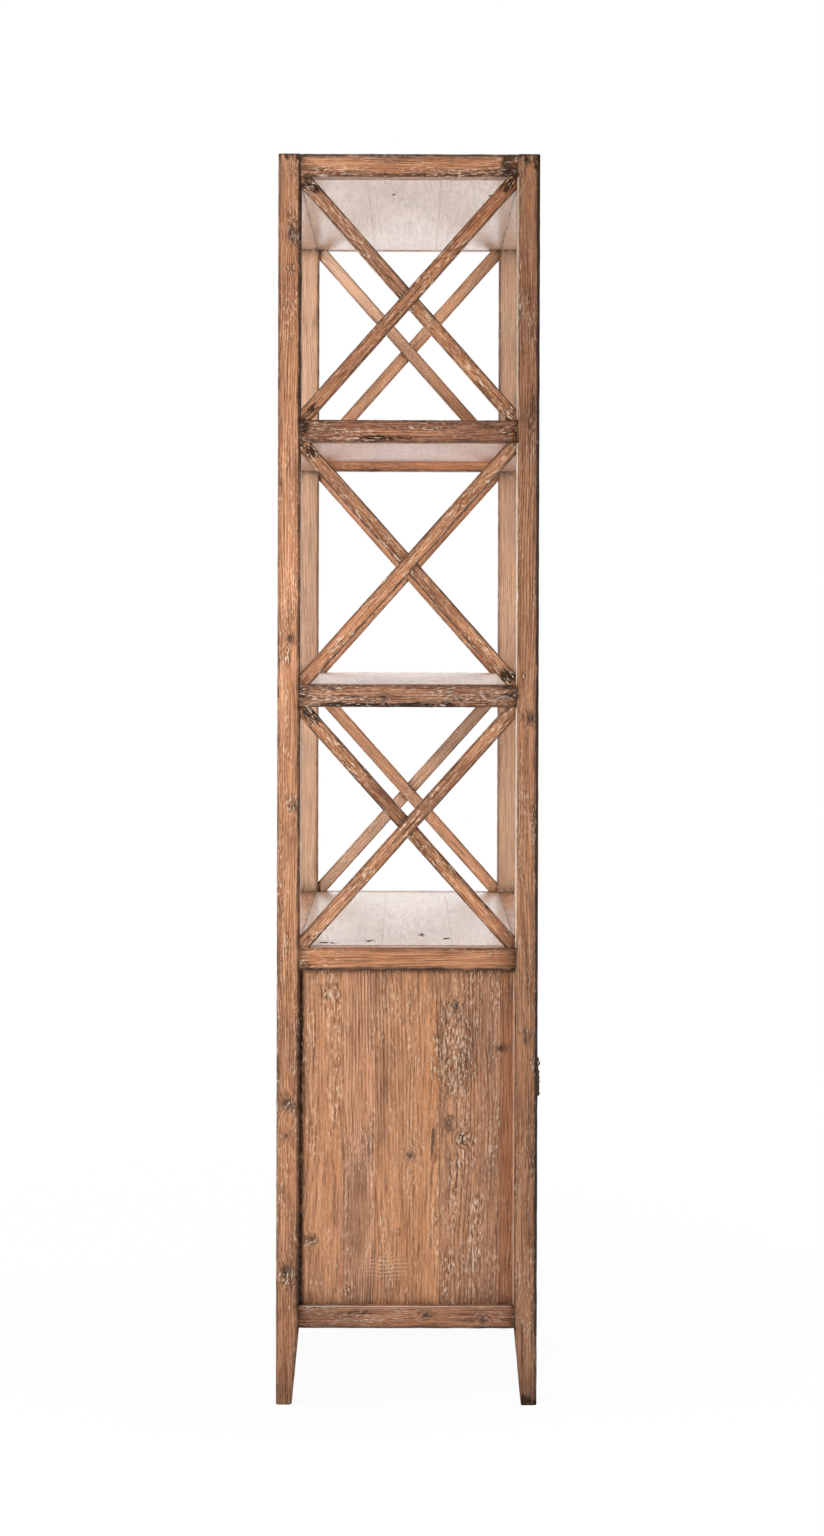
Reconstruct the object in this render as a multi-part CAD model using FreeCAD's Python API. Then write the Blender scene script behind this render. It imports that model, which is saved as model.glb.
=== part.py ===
import FreeCAD, Part
import math
import os

V = FreeCAD.Vector

# Overall sizes in millimetres. X runs along the shelves, the doors face -Y and the floor is Z = 0.
length = 1000.0
depth = 418.0
height = 2000.0

# Heights of the cabinet's top and floor boards above the ground. The three open tiers share
# what is left above them, each a little taller than the one below it.
cabinet_top = 733.0
cabinet_floor = 159.0
tier_growth = 1.5

# Framing timber: square posts, rails as thick as the posts, stub tenons.
post_side = 37.0
foot_side = 25.5
post_round = 3.0
foot_ease = 1.5
rail_high = 36.5
tenon_long = 12.0
tenon_thick = 10.0
tenon_high = 24.0
tenon_slack = 0.5

# Diagonal braces of the open ends.
brace_wide = 22.0
brace_thick = 22.0
brace_set = 3.0

# Boards that fill the frames, held by tongues in grooves.
shelf_thick = 20.0
shelf_tongue = 8.0
tongue_thick = 10.0
wall_thick = 13.0
wall_tongue = 6.0
groove_slack = 0.3

# Doors: framed leaves that turn on wooden pins of their outer stiles.
door_thick = 22.0
door_side_gap = 1.0
door_meet_gap = 2.0
door_end_gap = 1.5
stop_high = 6.0
stop_gap = 0.5
stile_wide = 42.0
door_rail_wide = 42.0
door_tenon_long = 14.0
door_tenon_thick = 8.0
door_panel_thick = 10.0
door_panel_tongue = 6.0
pin_radius = 5.0
pin_long = 10.0
pin_play = 0.15
pin_seat = 0.3

# Iron drop pulls on the meeting stiles.
plate_radius = 17.0
plate_thick = 1.6
plate_edge = 0.6
boss_radius = 5.0
boss_high = 3.0
shank_radius = 2.0
shank_long = 13.0
shank_play = 0.1
eye_out = 20.0
eye_mean_radius = 3.7
eye_wire = 1.3
eye_above_middle = 50.0
drop_wire = 1.8
drop_ring_radius = 5.2
drop_long = 58.0
drop_radius = 5.0
hang_gap = 0.3

# Outline of the drop: height shares of its length below the pivot, width shares of its radius.
drop_outline_shares = [
    (0.175, 0.40), (0.215, 0.62), (0.265, 0.86), (0.320, 0.66), (0.400, 0.80),
    (0.470, 0.86), (0.520, 0.72), (0.560, 1.00), (0.600, 0.72), (0.680, 0.78),
    (0.790, 0.82), (0.850, 0.70), (0.910, 1.00), (0.960, 0.80),
]

# Places that follow from the sizes above.
end_x = length / 2
inner_x = end_x - post_side
reach = eye_out + max(drop_radius, eye_mean_radius + eye_wire)
front_y = (reach - depth) / 2
back_y = front_y + depth
inner_front_y = front_y + post_side
inner_back_y = back_y - post_side
foot_top = cabinet_floor - rail_high
middle_tier = (height - cabinet_top) / 3 - rail_high
lower_shelf_top = cabinet_top + middle_tier - tier_growth + rail_high
upper_shelf_top = lower_shelf_top + middle_tier + rail_high
levels = {
    "top": height,
    "upper_shelf": upper_shelf_top,
    "lower_shelf": lower_shelf_top,
    "cabinet_top": cabinet_top,
    "cabinet_floor": cabinet_floor,
}
tiers = {
    "upper": (upper_shelf_top, height - rail_high),
    "middle": (lower_shelf_top, upper_shelf_top - rail_high),
    "lower": (cabinet_top, lower_shelf_top - rail_high),
}
ends = {"left": -1, "right": 1}
cabinet_ceiling = cabinet_top - rail_high

os.makedirs("parts", exist_ok=True)


def block(x0, x1, y0, y1, z0, z1):
    """A box between two corners, given in any order."""
    lows = V(min(x0, x1), min(y0, y1), min(z0, z1))
    return Part.makeBox(abs(x1 - x0), abs(y1 - y0), abs(z1 - z0), lows)


def prism(points, travel):
    """A flat outline pushed along a vector."""
    return Part.Face(Part.makePolygon(points + points[:1])).extrude(travel)


def save(shape, node):
    shape.exportStep("parts/" + node + ".step")


def clean(shape):
    """Merge the faces that a fuse left split and give back the solid itself."""
    whole = shape.removeSplitter()
    solids = whole.Solids
    return solids[0] if len(solids) == 1 else whole


# Tenons. Each is centred in its post, so the two that meet in a post stay clear of each other.
def end_tenons(side, top, extra):
    """The tenons of one end rail, running along Y into the front and the back post."""
    middle = side * (end_x - post_side / 2)
    low = top - (rail_high + tenon_high) / 2
    x0, x1 = middle - tenon_thick / 2, middle + tenon_thick / 2
    far = tenon_long + extra
    return [
        block(x0, x1, inner_front_y - far, inner_front_y, low, low + tenon_high),
        block(x0, x1, inner_back_y, inner_back_y + far, low, low + tenon_high),
    ]


def long_tenons(outer_y, inward, top, extra):
    """The tenons of one long rail, running along X into the left and the right post."""
    middle = outer_y + inward * post_side / 2
    low = top - (rail_high + tenon_high) / 2
    y0, y1 = middle - tenon_thick / 2, middle + tenon_thick / 2
    far = tenon_long + extra
    return [
        block(-inner_x - far, -inner_x, y0, y1, low, low + tenon_high),
        block(inner_x, inner_x + far, y0, y1, low, low + tenon_high),
    ]


# Boards. A shelf lies level with the top of its rails; the top board fills its frame's height.
def shelf_board(top, thick, extra):
    """A board between the four rails of a level, with a tongue on each edge."""
    tongue = shelf_tongue + extra
    low = top - (thick + tongue_thick) / 2
    high = low + tongue_thick
    body = block(-inner_x, inner_x, inner_front_y, inner_back_y, top - thick, top)
    sideways = block(-inner_x - tongue, inner_x + tongue, inner_front_y, inner_back_y, low, high)
    across = block(-inner_x, inner_x, inner_front_y - tongue, inner_back_y + tongue, low, high)
    return clean(body.fuse([sideways, across]))


def end_wall(side, extra):
    """The board of one cabinet end, in grooves of its posts and rails."""
    outer = side * (end_x - (post_side - wall_thick) / 2)
    inner = outer - side * wall_thick
    tongue = wall_tongue + extra
    y0, y1 = inner_front_y, inner_back_y
    z0, z1 = cabinet_floor, cabinet_ceiling
    upright = block(inner, outer, y0, y1, z0 - tongue, z1 + tongue)
    level = block(inner, outer, y0 - tongue, y1 + tongue, z0, z1)
    return clean(upright.fuse(level))


def back_wall(extra):
    """The board that closes the cabinet's back."""
    outer = back_y - (post_side - wall_thick) / 2
    inner = outer - wall_thick
    tongue = wall_tongue + extra
    z0, z1 = cabinet_floor, cabinet_ceiling
    upright = block(-inner_x, inner_x, inner, outer, z0 - tongue, z1 + tongue)
    level = block(-inner_x - tongue, inner_x + tongue, inner, outer, z0, z1)
    return clean(upright.fuse(level))


level_boards = {}
for name in levels:
    level_boards[name] = rail_high if name == "top" else shelf_thick
wall_grooves = [end_wall(side, groove_slack) for side in ends.values()] + [back_wall(groove_slack)]

# Door leaves sit in a rebate of the two cabinet front rails and turn on pins at their outer edge.
door_front = front_y
door_back = front_y + door_thick
pivot_x = inner_x - door_side_gap - door_thick / 2
pivot_y = front_y + door_thick / 2
door_low = cabinet_floor - stop_high + door_end_gap
door_high = cabinet_ceiling + stop_high - door_end_gap
rebate_back = door_back + stop_gap
eye_height = (door_low + door_high) / 2 + eye_above_middle


def pin_sockets():
    """Round sockets for the door pins: the lower ones carry the door, the upper ones are deeper."""
    radius = pin_radius + pin_play
    lower_end = door_low - pin_long - pin_seat
    upper_end = door_high + pin_long + door_end_gap
    sockets = []
    for side in ends.values():
        foot = V(side * pivot_x, pivot_y, lower_end)
        sockets.append(Part.makeCylinder(radius, door_low - lower_end, foot))
        head = V(side * pivot_x, pivot_y, door_high)
        sockets.append(Part.makeCylinder(radius, upper_end - door_high, head))
    return sockets


# Posts: square above the bottom rails, tapering below them on their two inner faces only.
def post_outline(outer, toward):
    """The side view of a post as pairs of place and height."""
    return [
        (outer, 0),
        (outer, height),
        (outer + toward * post_side, height),
        (outer + toward * post_side, foot_top),
        (outer + toward * foot_side, 0),
    ]


def make_post(side, outer_y, inward):
    outer = side * end_x
    seen_from_end = [V(outer - side * post_side, y, z) for y, z in post_outline(outer_y, inward)]
    seen_from_front = [V(x, outer_y, z) for x, z in post_outline(outer, -side)]
    post = prism(seen_from_end, V(side * post_side, 0, 0))
    post = post.common(prism(seen_from_front, V(0, inward * post_side, 0)))
    arris = []
    for edge in post.Edges:
        box = edge.BoundBox
        at_corner = abs(box.XMin - outer) < post_round and abs(box.YMin - outer_y) < post_round
        if at_corner and box.ZLength > post_side:
            arris.append(edge)
    post = post.makeFillet(post_round, arris)
    sole = [edge for edge in post.Edges if edge.BoundBox.ZMax < foot_ease]
    post = post.makeChamfer(foot_ease, sole)
    cutters = []
    for top in levels.values():
        cutters += end_tenons(side, top, tenon_slack)
        cutters += long_tenons(outer_y, inward, top, tenon_slack)
    return clean(post.cut(cutters + wall_grooves))


for side_name, side in ends.items():
    save(make_post(side, front_y, 1), "post_front_" + side_name)
    save(make_post(side, back_y, -1), "post_back_" + side_name)

# Rails of the five levels, grooved for the boards that they hold.
for name, top in levels.items():
    board_groove = shelf_board(top, level_boards[name], groove_slack)
    low = top - rail_high
    for side_name, side in ends.items():
        rail = block(side * end_x, side * inner_x, inner_front_y, inner_back_y, low, top)
        rail = rail.fuse(end_tenons(side, top, 0))
        save(clean(rail.cut([board_groove] + wall_grooves)), "end_rail_" + side_name + "_" + name)
    for face_name, outer_y, inward in (("front", front_y, 1), ("back", back_y, -1)):
        rail = block(-inner_x, inner_x, outer_y, outer_y + inward * post_side, low, top)
        rail = rail.fuse(long_tenons(outer_y, inward, top, 0))
        cutters = [board_groove] + wall_grooves
        if face_name == "front" and name == "cabinet_top":
            cutters.append(block(-inner_x, inner_x, front_y, rebate_back, low, low + stop_high))
            cutters += pin_sockets()
        if face_name == "front" and name == "cabinet_floor":
            cutters.append(block(-inner_x, inner_x, front_y, rebate_back, top - stop_high, top))
            cutters += pin_sockets()
        save(clean(rail.cut(cutters)), "long_rail_" + face_name + "_" + name)
    save(shelf_board(top, level_boards[name], 0), "board_" + name)

for side_name, side in ends.items():
    save(end_wall(side, 0), "wall_end_" + side_name)
save(back_wall(0), "wall_back")


# Braces: corner to corner in each open end, halved where they cross, the rising one outermost.
def brace_bar(y0, y1, z0, z1, x0, x1):
    """A straight bar along the line from (y0, z0) to (y1, z1), longer than needed at both ends."""
    run, rise = y1 - y0, z1 - z0
    span = math.hypot(run, rise)
    along = V(0, run / span, rise / span)
    across = V(0, -rise / span, run / span)
    start = V(x0, y0, z0) - along * brace_wide
    finish = V(x0, y1, z1) + along * brace_wide
    half = across * (brace_wide / 2)
    return prism([start - half, finish - half, finish + half, start + half], V(x1 - x0, 0, 0))


for side_name, side in ends.items():
    outer = side * (end_x - brace_set)
    inner = outer - side * brace_thick
    halfway = (outer + inner) / 2
    for tier_name, (z0, z1) in tiers.items():
        opening = block(side * end_x, side * inner_x, inner_front_y, inner_back_y, z0, z1)
        rising = brace_bar(inner_back_y, inner_front_y, z0, z1, outer, inner)
        falling = brace_bar(inner_front_y, inner_back_y, z0, z1, outer, inner)
        rising_lap = brace_bar(inner_back_y, inner_front_y, z0, z1, outer, halfway)
        falling_lap = brace_bar(inner_front_y, inner_back_y, z0, z1, halfway, inner)
        over = clean(rising.common(opening).cut(falling_lap))
        under = clean(falling.common(opening).cut(rising_lap))
        save(over, "brace_" + side_name + "_" + tier_name + "_rising")
        save(under, "brace_" + side_name + "_" + tier_name + "_falling")

# Door leaves: a half-round pivot stile, a meeting stile, two rails and a panel.
hinge_edge = pivot_x
meet_edge = door_meet_gap / 2
hinge_inner = inner_x - door_side_gap - stile_wide
meet_inner = meet_edge + stile_wide
rail_low_top = door_low + door_rail_wide
rail_high_low = door_high - door_rail_wide
pull_x = meet_edge + stile_wide / 2


def centred_y(thick):
    """The two faces of something thin in the middle of the door's thickness."""
    return door_front + (door_thick - thick) / 2, door_front + (door_thick + thick) / 2


def door_panel(side, extra):
    y0, y1 = centred_y(door_panel_thick)
    tongue = door_panel_tongue + extra
    low, high = rail_low_top, rail_high_low
    x0, x1 = side * meet_inner, side * hinge_inner
    upright = block(x0, x1, y0, y1, low - tongue, high + tongue)
    level = block(x0 - side * tongue, x1 + side * tongue, y0, y1, low, high)
    return clean(upright.fuse(level))


def door_rail_tenons(side, low, extra):
    y0, y1 = centred_y(door_tenon_thick)
    far = door_tenon_long + extra
    third = door_rail_wide / 3
    z0, z1 = low + third / 2, low + door_rail_wide - third / 2
    x0, x1 = side * meet_inner, side * hinge_inner
    return [
        block(x0 - side * far, x0, y0, y1, z0, z1),
        block(x1, x1 + side * far, y0, y1, z0, z1),
    ]


for side_name, side in ends.items():
    mortises = door_rail_tenons(side, door_low, tenon_slack)
    mortises += door_rail_tenons(side, rail_high_low, tenon_slack)
    groove = door_panel(side, groove_slack)

    # The pivot stile's outer edge is a half round about the pin, so it turns within its gap.
    stile = block(side * hinge_edge, side * hinge_inner, door_front, door_back, door_low, door_high)
    axis_foot = V(side * hinge_edge, pivot_y, door_low)
    nose = Part.makeCylinder(door_thick / 2, door_high - door_low, axis_foot)
    lower_pin = Part.makeCylinder(pin_radius, pin_long, axis_foot - V(0, 0, pin_long))
    upper_pin = Part.makeCylinder(pin_radius, pin_long, V(side * hinge_edge, pivot_y, door_high))
    stile = stile.fuse([nose, lower_pin, upper_pin]).cut(mortises + [groove])
    save(clean(stile), "door_" + side_name + "_pivot_stile")

    meeting = block(side * meet_edge, side * meet_inner, door_front, door_back, door_low, door_high)
    bore = Part.makeCylinder(
        shank_radius + shank_play,
        shank_long + tenon_slack,
        V(side * pull_x, door_front, eye_height),
        V(0, 1, 0),
    )
    meeting = meeting.cut(mortises + [groove, bore])
    save(clean(meeting), "door_" + side_name + "_meeting_stile")

    for rail_name, low in (("lower", door_low), ("upper", rail_high_low)):
        rail = block(
            side * meet_inner, side * hinge_inner, door_front, door_back, low, low + door_rail_wide
        )
        rail = rail.fuse(door_rail_tenons(side, low, 0)).cut(groove)
        save(clean(rail), "door_" + side_name + "_" + rail_name + "_rail")
    save(door_panel(side, 0), "door_" + side_name + "_panel")


# Drop pulls: a round plate, an eye driven through it into the stile, and a drop hung in the eye.
def make_plate(x):
    back = V(x, door_front - plate_thick, eye_height)
    plate = Part.makeCylinder(plate_radius, plate_thick, back, V(0, 1, 0))
    rim = [edge for edge in plate.Edges if edge.BoundBox.YMax < door_front - plate_thick / 2]
    plate = plate.makeChamfer(plate_edge, rim)
    hole = Part.makeCylinder(shank_radius + shank_play, plate_thick, back, V(0, 1, 0))
    return clean(plate.cut(hole))


def make_eye(x):
    centre = V(x, door_front - eye_out, eye_height)
    ring = Part.makeTorus(eye_mean_radius, eye_wire, centre, V(1, 0, 0))
    shank_start = centre + V(0, eye_mean_radius, 0)
    shank = Part.makeCylinder(shank_radius, eye_out + shank_long - eye_mean_radius, shank_start, V(0, 1, 0))
    boss_start = V(x, door_front - plate_thick - boss_high, eye_height)
    boss = Part.makeCone(shank_radius, boss_radius, boss_high, boss_start, V(0, 1, 0))
    return clean(ring.fuse([shank, boss]))


def make_drop(x):
    pivot_z = eye_height - (eye_mean_radius - eye_wire - drop_wire - hang_gap)
    pivot = V(x, door_front - eye_out, pivot_z)
    ring = Part.makeTorus(drop_ring_radius, drop_wire, pivot - V(0, 0, drop_ring_radius), V(0, 1, 0))
    outline = []
    for height_share, width_share in drop_outline_shares:
        outline.append(pivot + V(drop_radius * width_share, 0, -drop_long * height_share))
    tip = pivot - V(0, 0, drop_long)
    crown = V(pivot.x, pivot.y, outline[0].z)
    curve = Part.BSplineCurve()
    curve.interpolate(outline + [tip])
    edges = [
        curve.toShape(),
        Part.makeLine(tip, crown),
        Part.makeLine(crown, outline[0]),
    ]
    body = Part.Face(Part.Wire(edges)).revolve(pivot, V(0, 0, 1), 360)
    return clean(ring.fuse(body))


for side_name, side in ends.items():
    save(make_plate(side * pull_x), "pull_" + side_name + "_plate")
    save(make_eye(side * pull_x), "pull_" + side_name + "_eye")
    save(make_drop(side * pull_x), "pull_" + side_name + "_drop")
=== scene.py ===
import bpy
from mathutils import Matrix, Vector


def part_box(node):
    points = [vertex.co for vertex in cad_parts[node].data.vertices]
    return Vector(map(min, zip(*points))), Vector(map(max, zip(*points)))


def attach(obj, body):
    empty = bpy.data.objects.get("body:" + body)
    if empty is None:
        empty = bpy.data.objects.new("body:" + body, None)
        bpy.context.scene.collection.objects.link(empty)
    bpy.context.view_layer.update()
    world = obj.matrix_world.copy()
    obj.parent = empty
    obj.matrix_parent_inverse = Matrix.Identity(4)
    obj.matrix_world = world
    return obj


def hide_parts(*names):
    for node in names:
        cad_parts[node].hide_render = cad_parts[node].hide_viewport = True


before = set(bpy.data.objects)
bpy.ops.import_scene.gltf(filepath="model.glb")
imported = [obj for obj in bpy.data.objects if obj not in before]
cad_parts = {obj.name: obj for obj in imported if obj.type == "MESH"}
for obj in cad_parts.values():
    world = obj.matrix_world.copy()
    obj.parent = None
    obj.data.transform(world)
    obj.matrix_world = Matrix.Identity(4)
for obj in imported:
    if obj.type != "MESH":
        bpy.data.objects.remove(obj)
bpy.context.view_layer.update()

import math

import bmesh
import bpy
import numpy as np
from mathutils import Matrix, Vector

# Posts. Four square posts of old pine carry everything and taper below the cabinet on their two
# inner faces. Hand planed, with rubbed arrises and dents, stained where rails and braces meet them.

POST_IN_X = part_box("post_front_right")[0].x
POST_FRONT, POST_INNER_FRONT = (corner.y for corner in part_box("post_front_left"))
POST_INNER_BACK, POST_BACK = (corner.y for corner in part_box("post_back_left"))
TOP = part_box("post_front_left")[1].z
RAIL_HIGH = 0.0365
LEVELS = {name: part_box("board_" + name)[1].z
          for name in ("top", "upper_shelf", "lower_shelf", "cabinet_top", "cabinet_floor")}
FOOT_TOP = LEVELS["cabinet_floor"] - RAIL_HIGH
FOOT_SIDE = 0.0255
CORNERS = ((1, -1, -90), (1, 1, 0), (-1, 1, 90), (-1, -1, 180))  # side across, side through, angle
SIDES = (("left", -1), ("right", 1))
ROUNDS = 4  # steps in the round of an arris
FACE_STEP, MOST_COLUMNS = 0.0065, 26  # between the columns of points on a face, and the most of them


def sway(rng, waves, lowest, highest):
    """A smooth uneven curve along a piece, about 0 to 1, made of waves so many to the metre."""
    turns = rng.uniform(lowest, highest, waves) * math.tau
    starts = rng.uniform(0, math.tau, waves)

    def at(s):
        s = np.asarray(s)[..., None]
        return 0.5 + 0.5 * np.mean(np.sin(s * turns + starts), axis=-1) * math.sqrt(waves) * 0.8

    return at


def stations(length, step, joints):
    """How far along a stick its rings of points lie, closer together at its ends and joints."""
    ends = (0.0, 0.0006, 0.0016)
    inner = np.arange(ends[-1], length - ends[-1], step)[1:]
    near = [m + d for m in joints for d in (-0.0012, -0.0004, 0.0004, 0.0012)]
    near = [m for m in near if 0.003 < m < length - 0.003]
    return np.array(sorted({*ends, *(length - e for e in ends), *inner, *near}))


def columns_round(radii, filth_and_light, soak, low_b, high_b, low_c, high_c):
    """The columns of points round a stick: across, through, normal, and the grime and painted light on each
    one.
    """
    spans = (np.mean(high_c - low_c), np.mean(high_b - low_b))
    centres = [((high_b - r) if side_b > 0 else (low_b + r), (high_c - r) if side_c > 0 else (low_c + r))
               for r, (side_b, side_c, _) in zip(radii, CORNERS)]
    columns, edge_dirt_and_light = [], []
    for corner, (centre_b, centre_c) in enumerate(centres):
        for k in range(ROUNDS + 1):
            turn = math.radians(CORNERS[corner][2] + 90 * k / ROUNDS)
            out_b, out_c = math.cos(turn), math.sin(turn)
            columns.append((centre_b + radii[corner] * out_b, centre_c + radii[corner] * out_c, out_b, out_c))
            edge_dirt_and_light.append(filth_and_light[corner] * (1.0 if 0 < k < ROUNDS else 0.85))
        after = (corner + 1) % 4
        here_b, here_c = columns[-1][:2]
        there_b, there_c = centres[after][0] + radii[after] * out_b, centres[after][1] + radii[after] * out_c
        span = spans[corner % 2] - np.mean(radii[corner]) - np.mean(radii[after])
        rims = [[k * reach for k in (0.6, 1.5, 3.2) if k * reach < 0.42 * span]
                for reach in (soak[corner], soak[after])]
        first, last = (rims[0] or [0.0])[-1], span - (rims[1] or [0.0])[-1]
        count = max(1, min(MOST_COLUMNS, round((last - first) / FACE_STEP)))
        steps = rims[0] + list(np.linspace(first, last, count + 1)[1:-1])
        for step_in in steps + [span - v for v in reversed(rims[1])]:
            t = step_in / span
            columns.append((here_b + (there_b - here_b) * t, here_c + (there_c - here_c) * t, out_b, out_c))
            nearer = corner if t < 0.5 else after
            edge_dirt_and_light.append(filth_and_light[nearer] * 0.8 * math.exp(-min(t, 1 - t) * span / soak[nearer]))
    return [np.stack(part, -1) for part in zip(*columns)] + [np.stack(edge_dirt_and_light, 1)]


def worn_bar(start, along, across, length, side, seed, arris=0.003, step=0.007,
             joints=(), stained=0.02, tone=1.0, dents=6, pith=None, wear=0.00035, soak=0.0035,
             dirt_and_light=1.0, figure=0.6, lime=0.6, fade=None, grooved=True):
    """A planed stick of timber as rings of points round a line: rounded, rubbed and dented.

    side is half its size across and through, or a function that gives its lowest and highest across
    and through at a distance along it. arris, soak and the darkening of each arris may differ at its
    four corners: grime, and on some arrises painted shade; below 0 it is a painted highlight instead.
    """
    rng = np.random.default_rng(seed)
    arris, dirt_and_light, soak = (np.broadcast_to(v, 4) for v in (arris, dirt_and_light, soak))
    start, along, across = (np.array(v, float) for v in (start, along, across))
    through = np.cross(along, across)
    s = stations(length, step, joints)
    limits = [side(v) if callable(side) else (-side[0], side[0], -side[1], side[1]) for v in s]
    low_b, high_b, low_c, high_c = (np.array(v, float) for v in zip(*limits))
    to_end = np.minimum(s, length - s)
    ease = np.where(to_end < 0.0003, 0.0011, np.where(to_end < 0.001, 0.0003, 0.0))
    groove = np.zeros_like(s)
    for m in joints if grooved else ():
        groove = np.maximum(groove, 0.0006 * np.exp(-((s - m) / 0.0006) ** 2))
    low_b, high_b = low_b + ease + groove, high_b - ease - groove
    low_c, high_c = low_c + ease + groove, high_c - ease - groove

    # Corner radii wander, and a few knocks take a bite out of one arris each.
    radii, filth_and_light = [], []
    for corner in range(4):
        radius = arris[corner] * (0.9 + 0.18 * sway(rng, 5, 2, 22)(s))
        filth_and_light.append(dirt_and_light[corner] * (0.72 + 0.35 * sway(rng, 6, 1, 16)(s)))
        for _ in range(rng.integers(dents // 2, dents + 1)):
            bite = rng.uniform(0.0003, 0.0014)
            radius += bite * np.exp(-((s - rng.uniform(0, length)) / rng.uniform(0.003, 0.012)) ** 2)
        radii.append(np.minimum(radius, 0.45 * np.minimum(high_b - low_b, high_c - low_c)))
    b, c, out_b, out_c, edge_dirt_and_light = columns_round(radii, filth_and_light, soak, low_b, high_b, low_c, high_c)

    # The plane and the years leave each face a little hollow here and there, never proud.
    ways = [sway(rng, 6, 2, 30) for _ in range(4)]
    push = np.zeros_like(b)
    for way, (face_b, face_c) in zip(ways, ((1, 0), (0, 1), (-1, 0), (0, -1))):
        push += way(s)[:, None] * np.clip(out_b * face_b + out_c * face_c, 0, 1)[None, :] * wear
    b, c = b - push * out_b, c - push * out_c

    points = start + s[:, None, None] * along + b[..., None] * across + c[..., None] * through
    points = points.reshape(-1, 3)
    middle_b, middle_c = (low_b + high_b) / 2, (low_c + high_c) / 2
    caps = [start + s[i] * along + middle_b[i] * across + middle_c[i] * through for i in (0, -1)]
    index = np.arange(b.size).reshape(b.shape)
    after = np.roll(index, -1, axis=1)
    faces = np.stack([index[:-1], after[:-1], after[1:], index[1:]], -1).reshape(-1, 4).tolist()
    faces += [[len(points), int(j), int(i)] for i, j in zip(index[0], after[0])]
    faces += [[len(points) + 1, int(i), int(j)] for i, j in zip(index[-1], after[-1])]
    points = np.vstack([points, caps])

    # Where the timber came out of the tree, so that each stick shows its own rings.
    if pith is None:
        angle = rng.choice((-1, 1)) * math.pi / 2 + rng.uniform(-0.45, 0.45)
        away = rng.uniform(0.05, 0.11)
        pith = (away * math.cos(angle), away * math.sin(angle))
    where = points - start
    distance = where @ along
    grain = np.stack([distance + rng.uniform(0, 9), where @ across + pith[0], where @ through + pith[1]], 1)
    near = np.zeros(len(points))
    for m in joints:
        near = np.maximum(near, np.exp(-np.abs(distance - m) / stained))
    ends = np.exp(-np.minimum(distance, length - distance) / 0.0015)
    edge_dirt_and_light = np.concatenate([edge_dirt_and_light.reshape(-1), [0, 0]])
    edge_dirt_and_light = np.where(ends > 0.3, np.maximum(edge_dirt_and_light, ends), edge_dirt_and_light)
    edge_dirt_and_light[-2:] = 0.3
    shade = np.broadcast_to(tone, 3) * (np.ones(len(points)) if fade is None else fade(distance))[:, None]
    return {"points": points, "faces": faces, "grain": grain, "arris": edge_dirt_and_light, "joint": near,
            "tone": shade, "figure": np.full(len(points), figure),
            "lime": np.full(len(points), lime), "bare_and_sheen": np.zeros(len(points))}


def paler_inside(stick, depth, tint, bare_and_sheen):
    """The faces that look into the bookcase never had as much stain or lime as those outside. On the
    undersides of some long rails the same paler colour is a painted reflection instead.

    depth is how far each point lies below such a face, bare how far the wood was left unstained; on those
    rail undersides it is how much painted reflection shows.
    """
    share = np.clip(1.0 - np.abs(depth) / 0.004, 0, 1)
    stick["tone"] = stick["tone"] * (1 + share[:, None] * (np.array(tint) - 1))
    stick["lime"] = stick["lime"] * (1 - 0.6 * share)
    stick["figure"] = stick["figure"] * (1 - 0.4 * share)
    stick["bare_and_sheen"] = share * bare_and_sheen


def placed(name, data):
    """A new object in the scene."""
    thing = bpy.data.objects.new(name, data)
    bpy.context.scene.collection.objects.link(thing)
    return thing


def smooth_piece(name, mesh, finish):
    """An object of a smooth mesh with one finish."""
    mesh.polygons.foreach_set("use_smooth", [True] * len(mesh.polygons))
    mesh.materials.append(finish)
    return placed(name, mesh)


def timber_piece(name, sticks, finish):
    """One object of one or more sticks, with what the finish reads kept on its points."""
    faces, start = [], 0
    for stick in sticks:
        faces += [[i + start for i in face] for face in stick["faces"]]
        start += len(stick["points"])
    mesh = bpy.data.meshes.new(name)
    mesh.from_pydata(np.vstack([stick["points"] for stick in sticks]).tolist(), [], faces)
    for key in ("grain", "arris", "joint", "tone", "figure", "lime", "bare_and_sheen"):
        values = np.concatenate([np.asarray(stick[key], float).reshape(len(stick["points"]), -1)
                                 for stick in sticks])
        kind, field = ("FLOAT_VECTOR", "vector") if values.shape[1] == 3 else ("FLOAT", "value")
        mesh.attributes.new(key, kind, "POINT").data.foreach_set(field, values.ravel())
    return smooth_piece(name, mesh, finish)


def fit(piece, body, node):
    """The piece stands for a node of the CAD, which it hides, and moves with a body."""
    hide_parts(node)
    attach(piece, body)


def dress(node, sticks, finish, body="cabinet"):
    """Timber that stands for a node of the frame."""
    fit(timber_piece("worn_" + node, sticks, finish), body, node)


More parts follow.
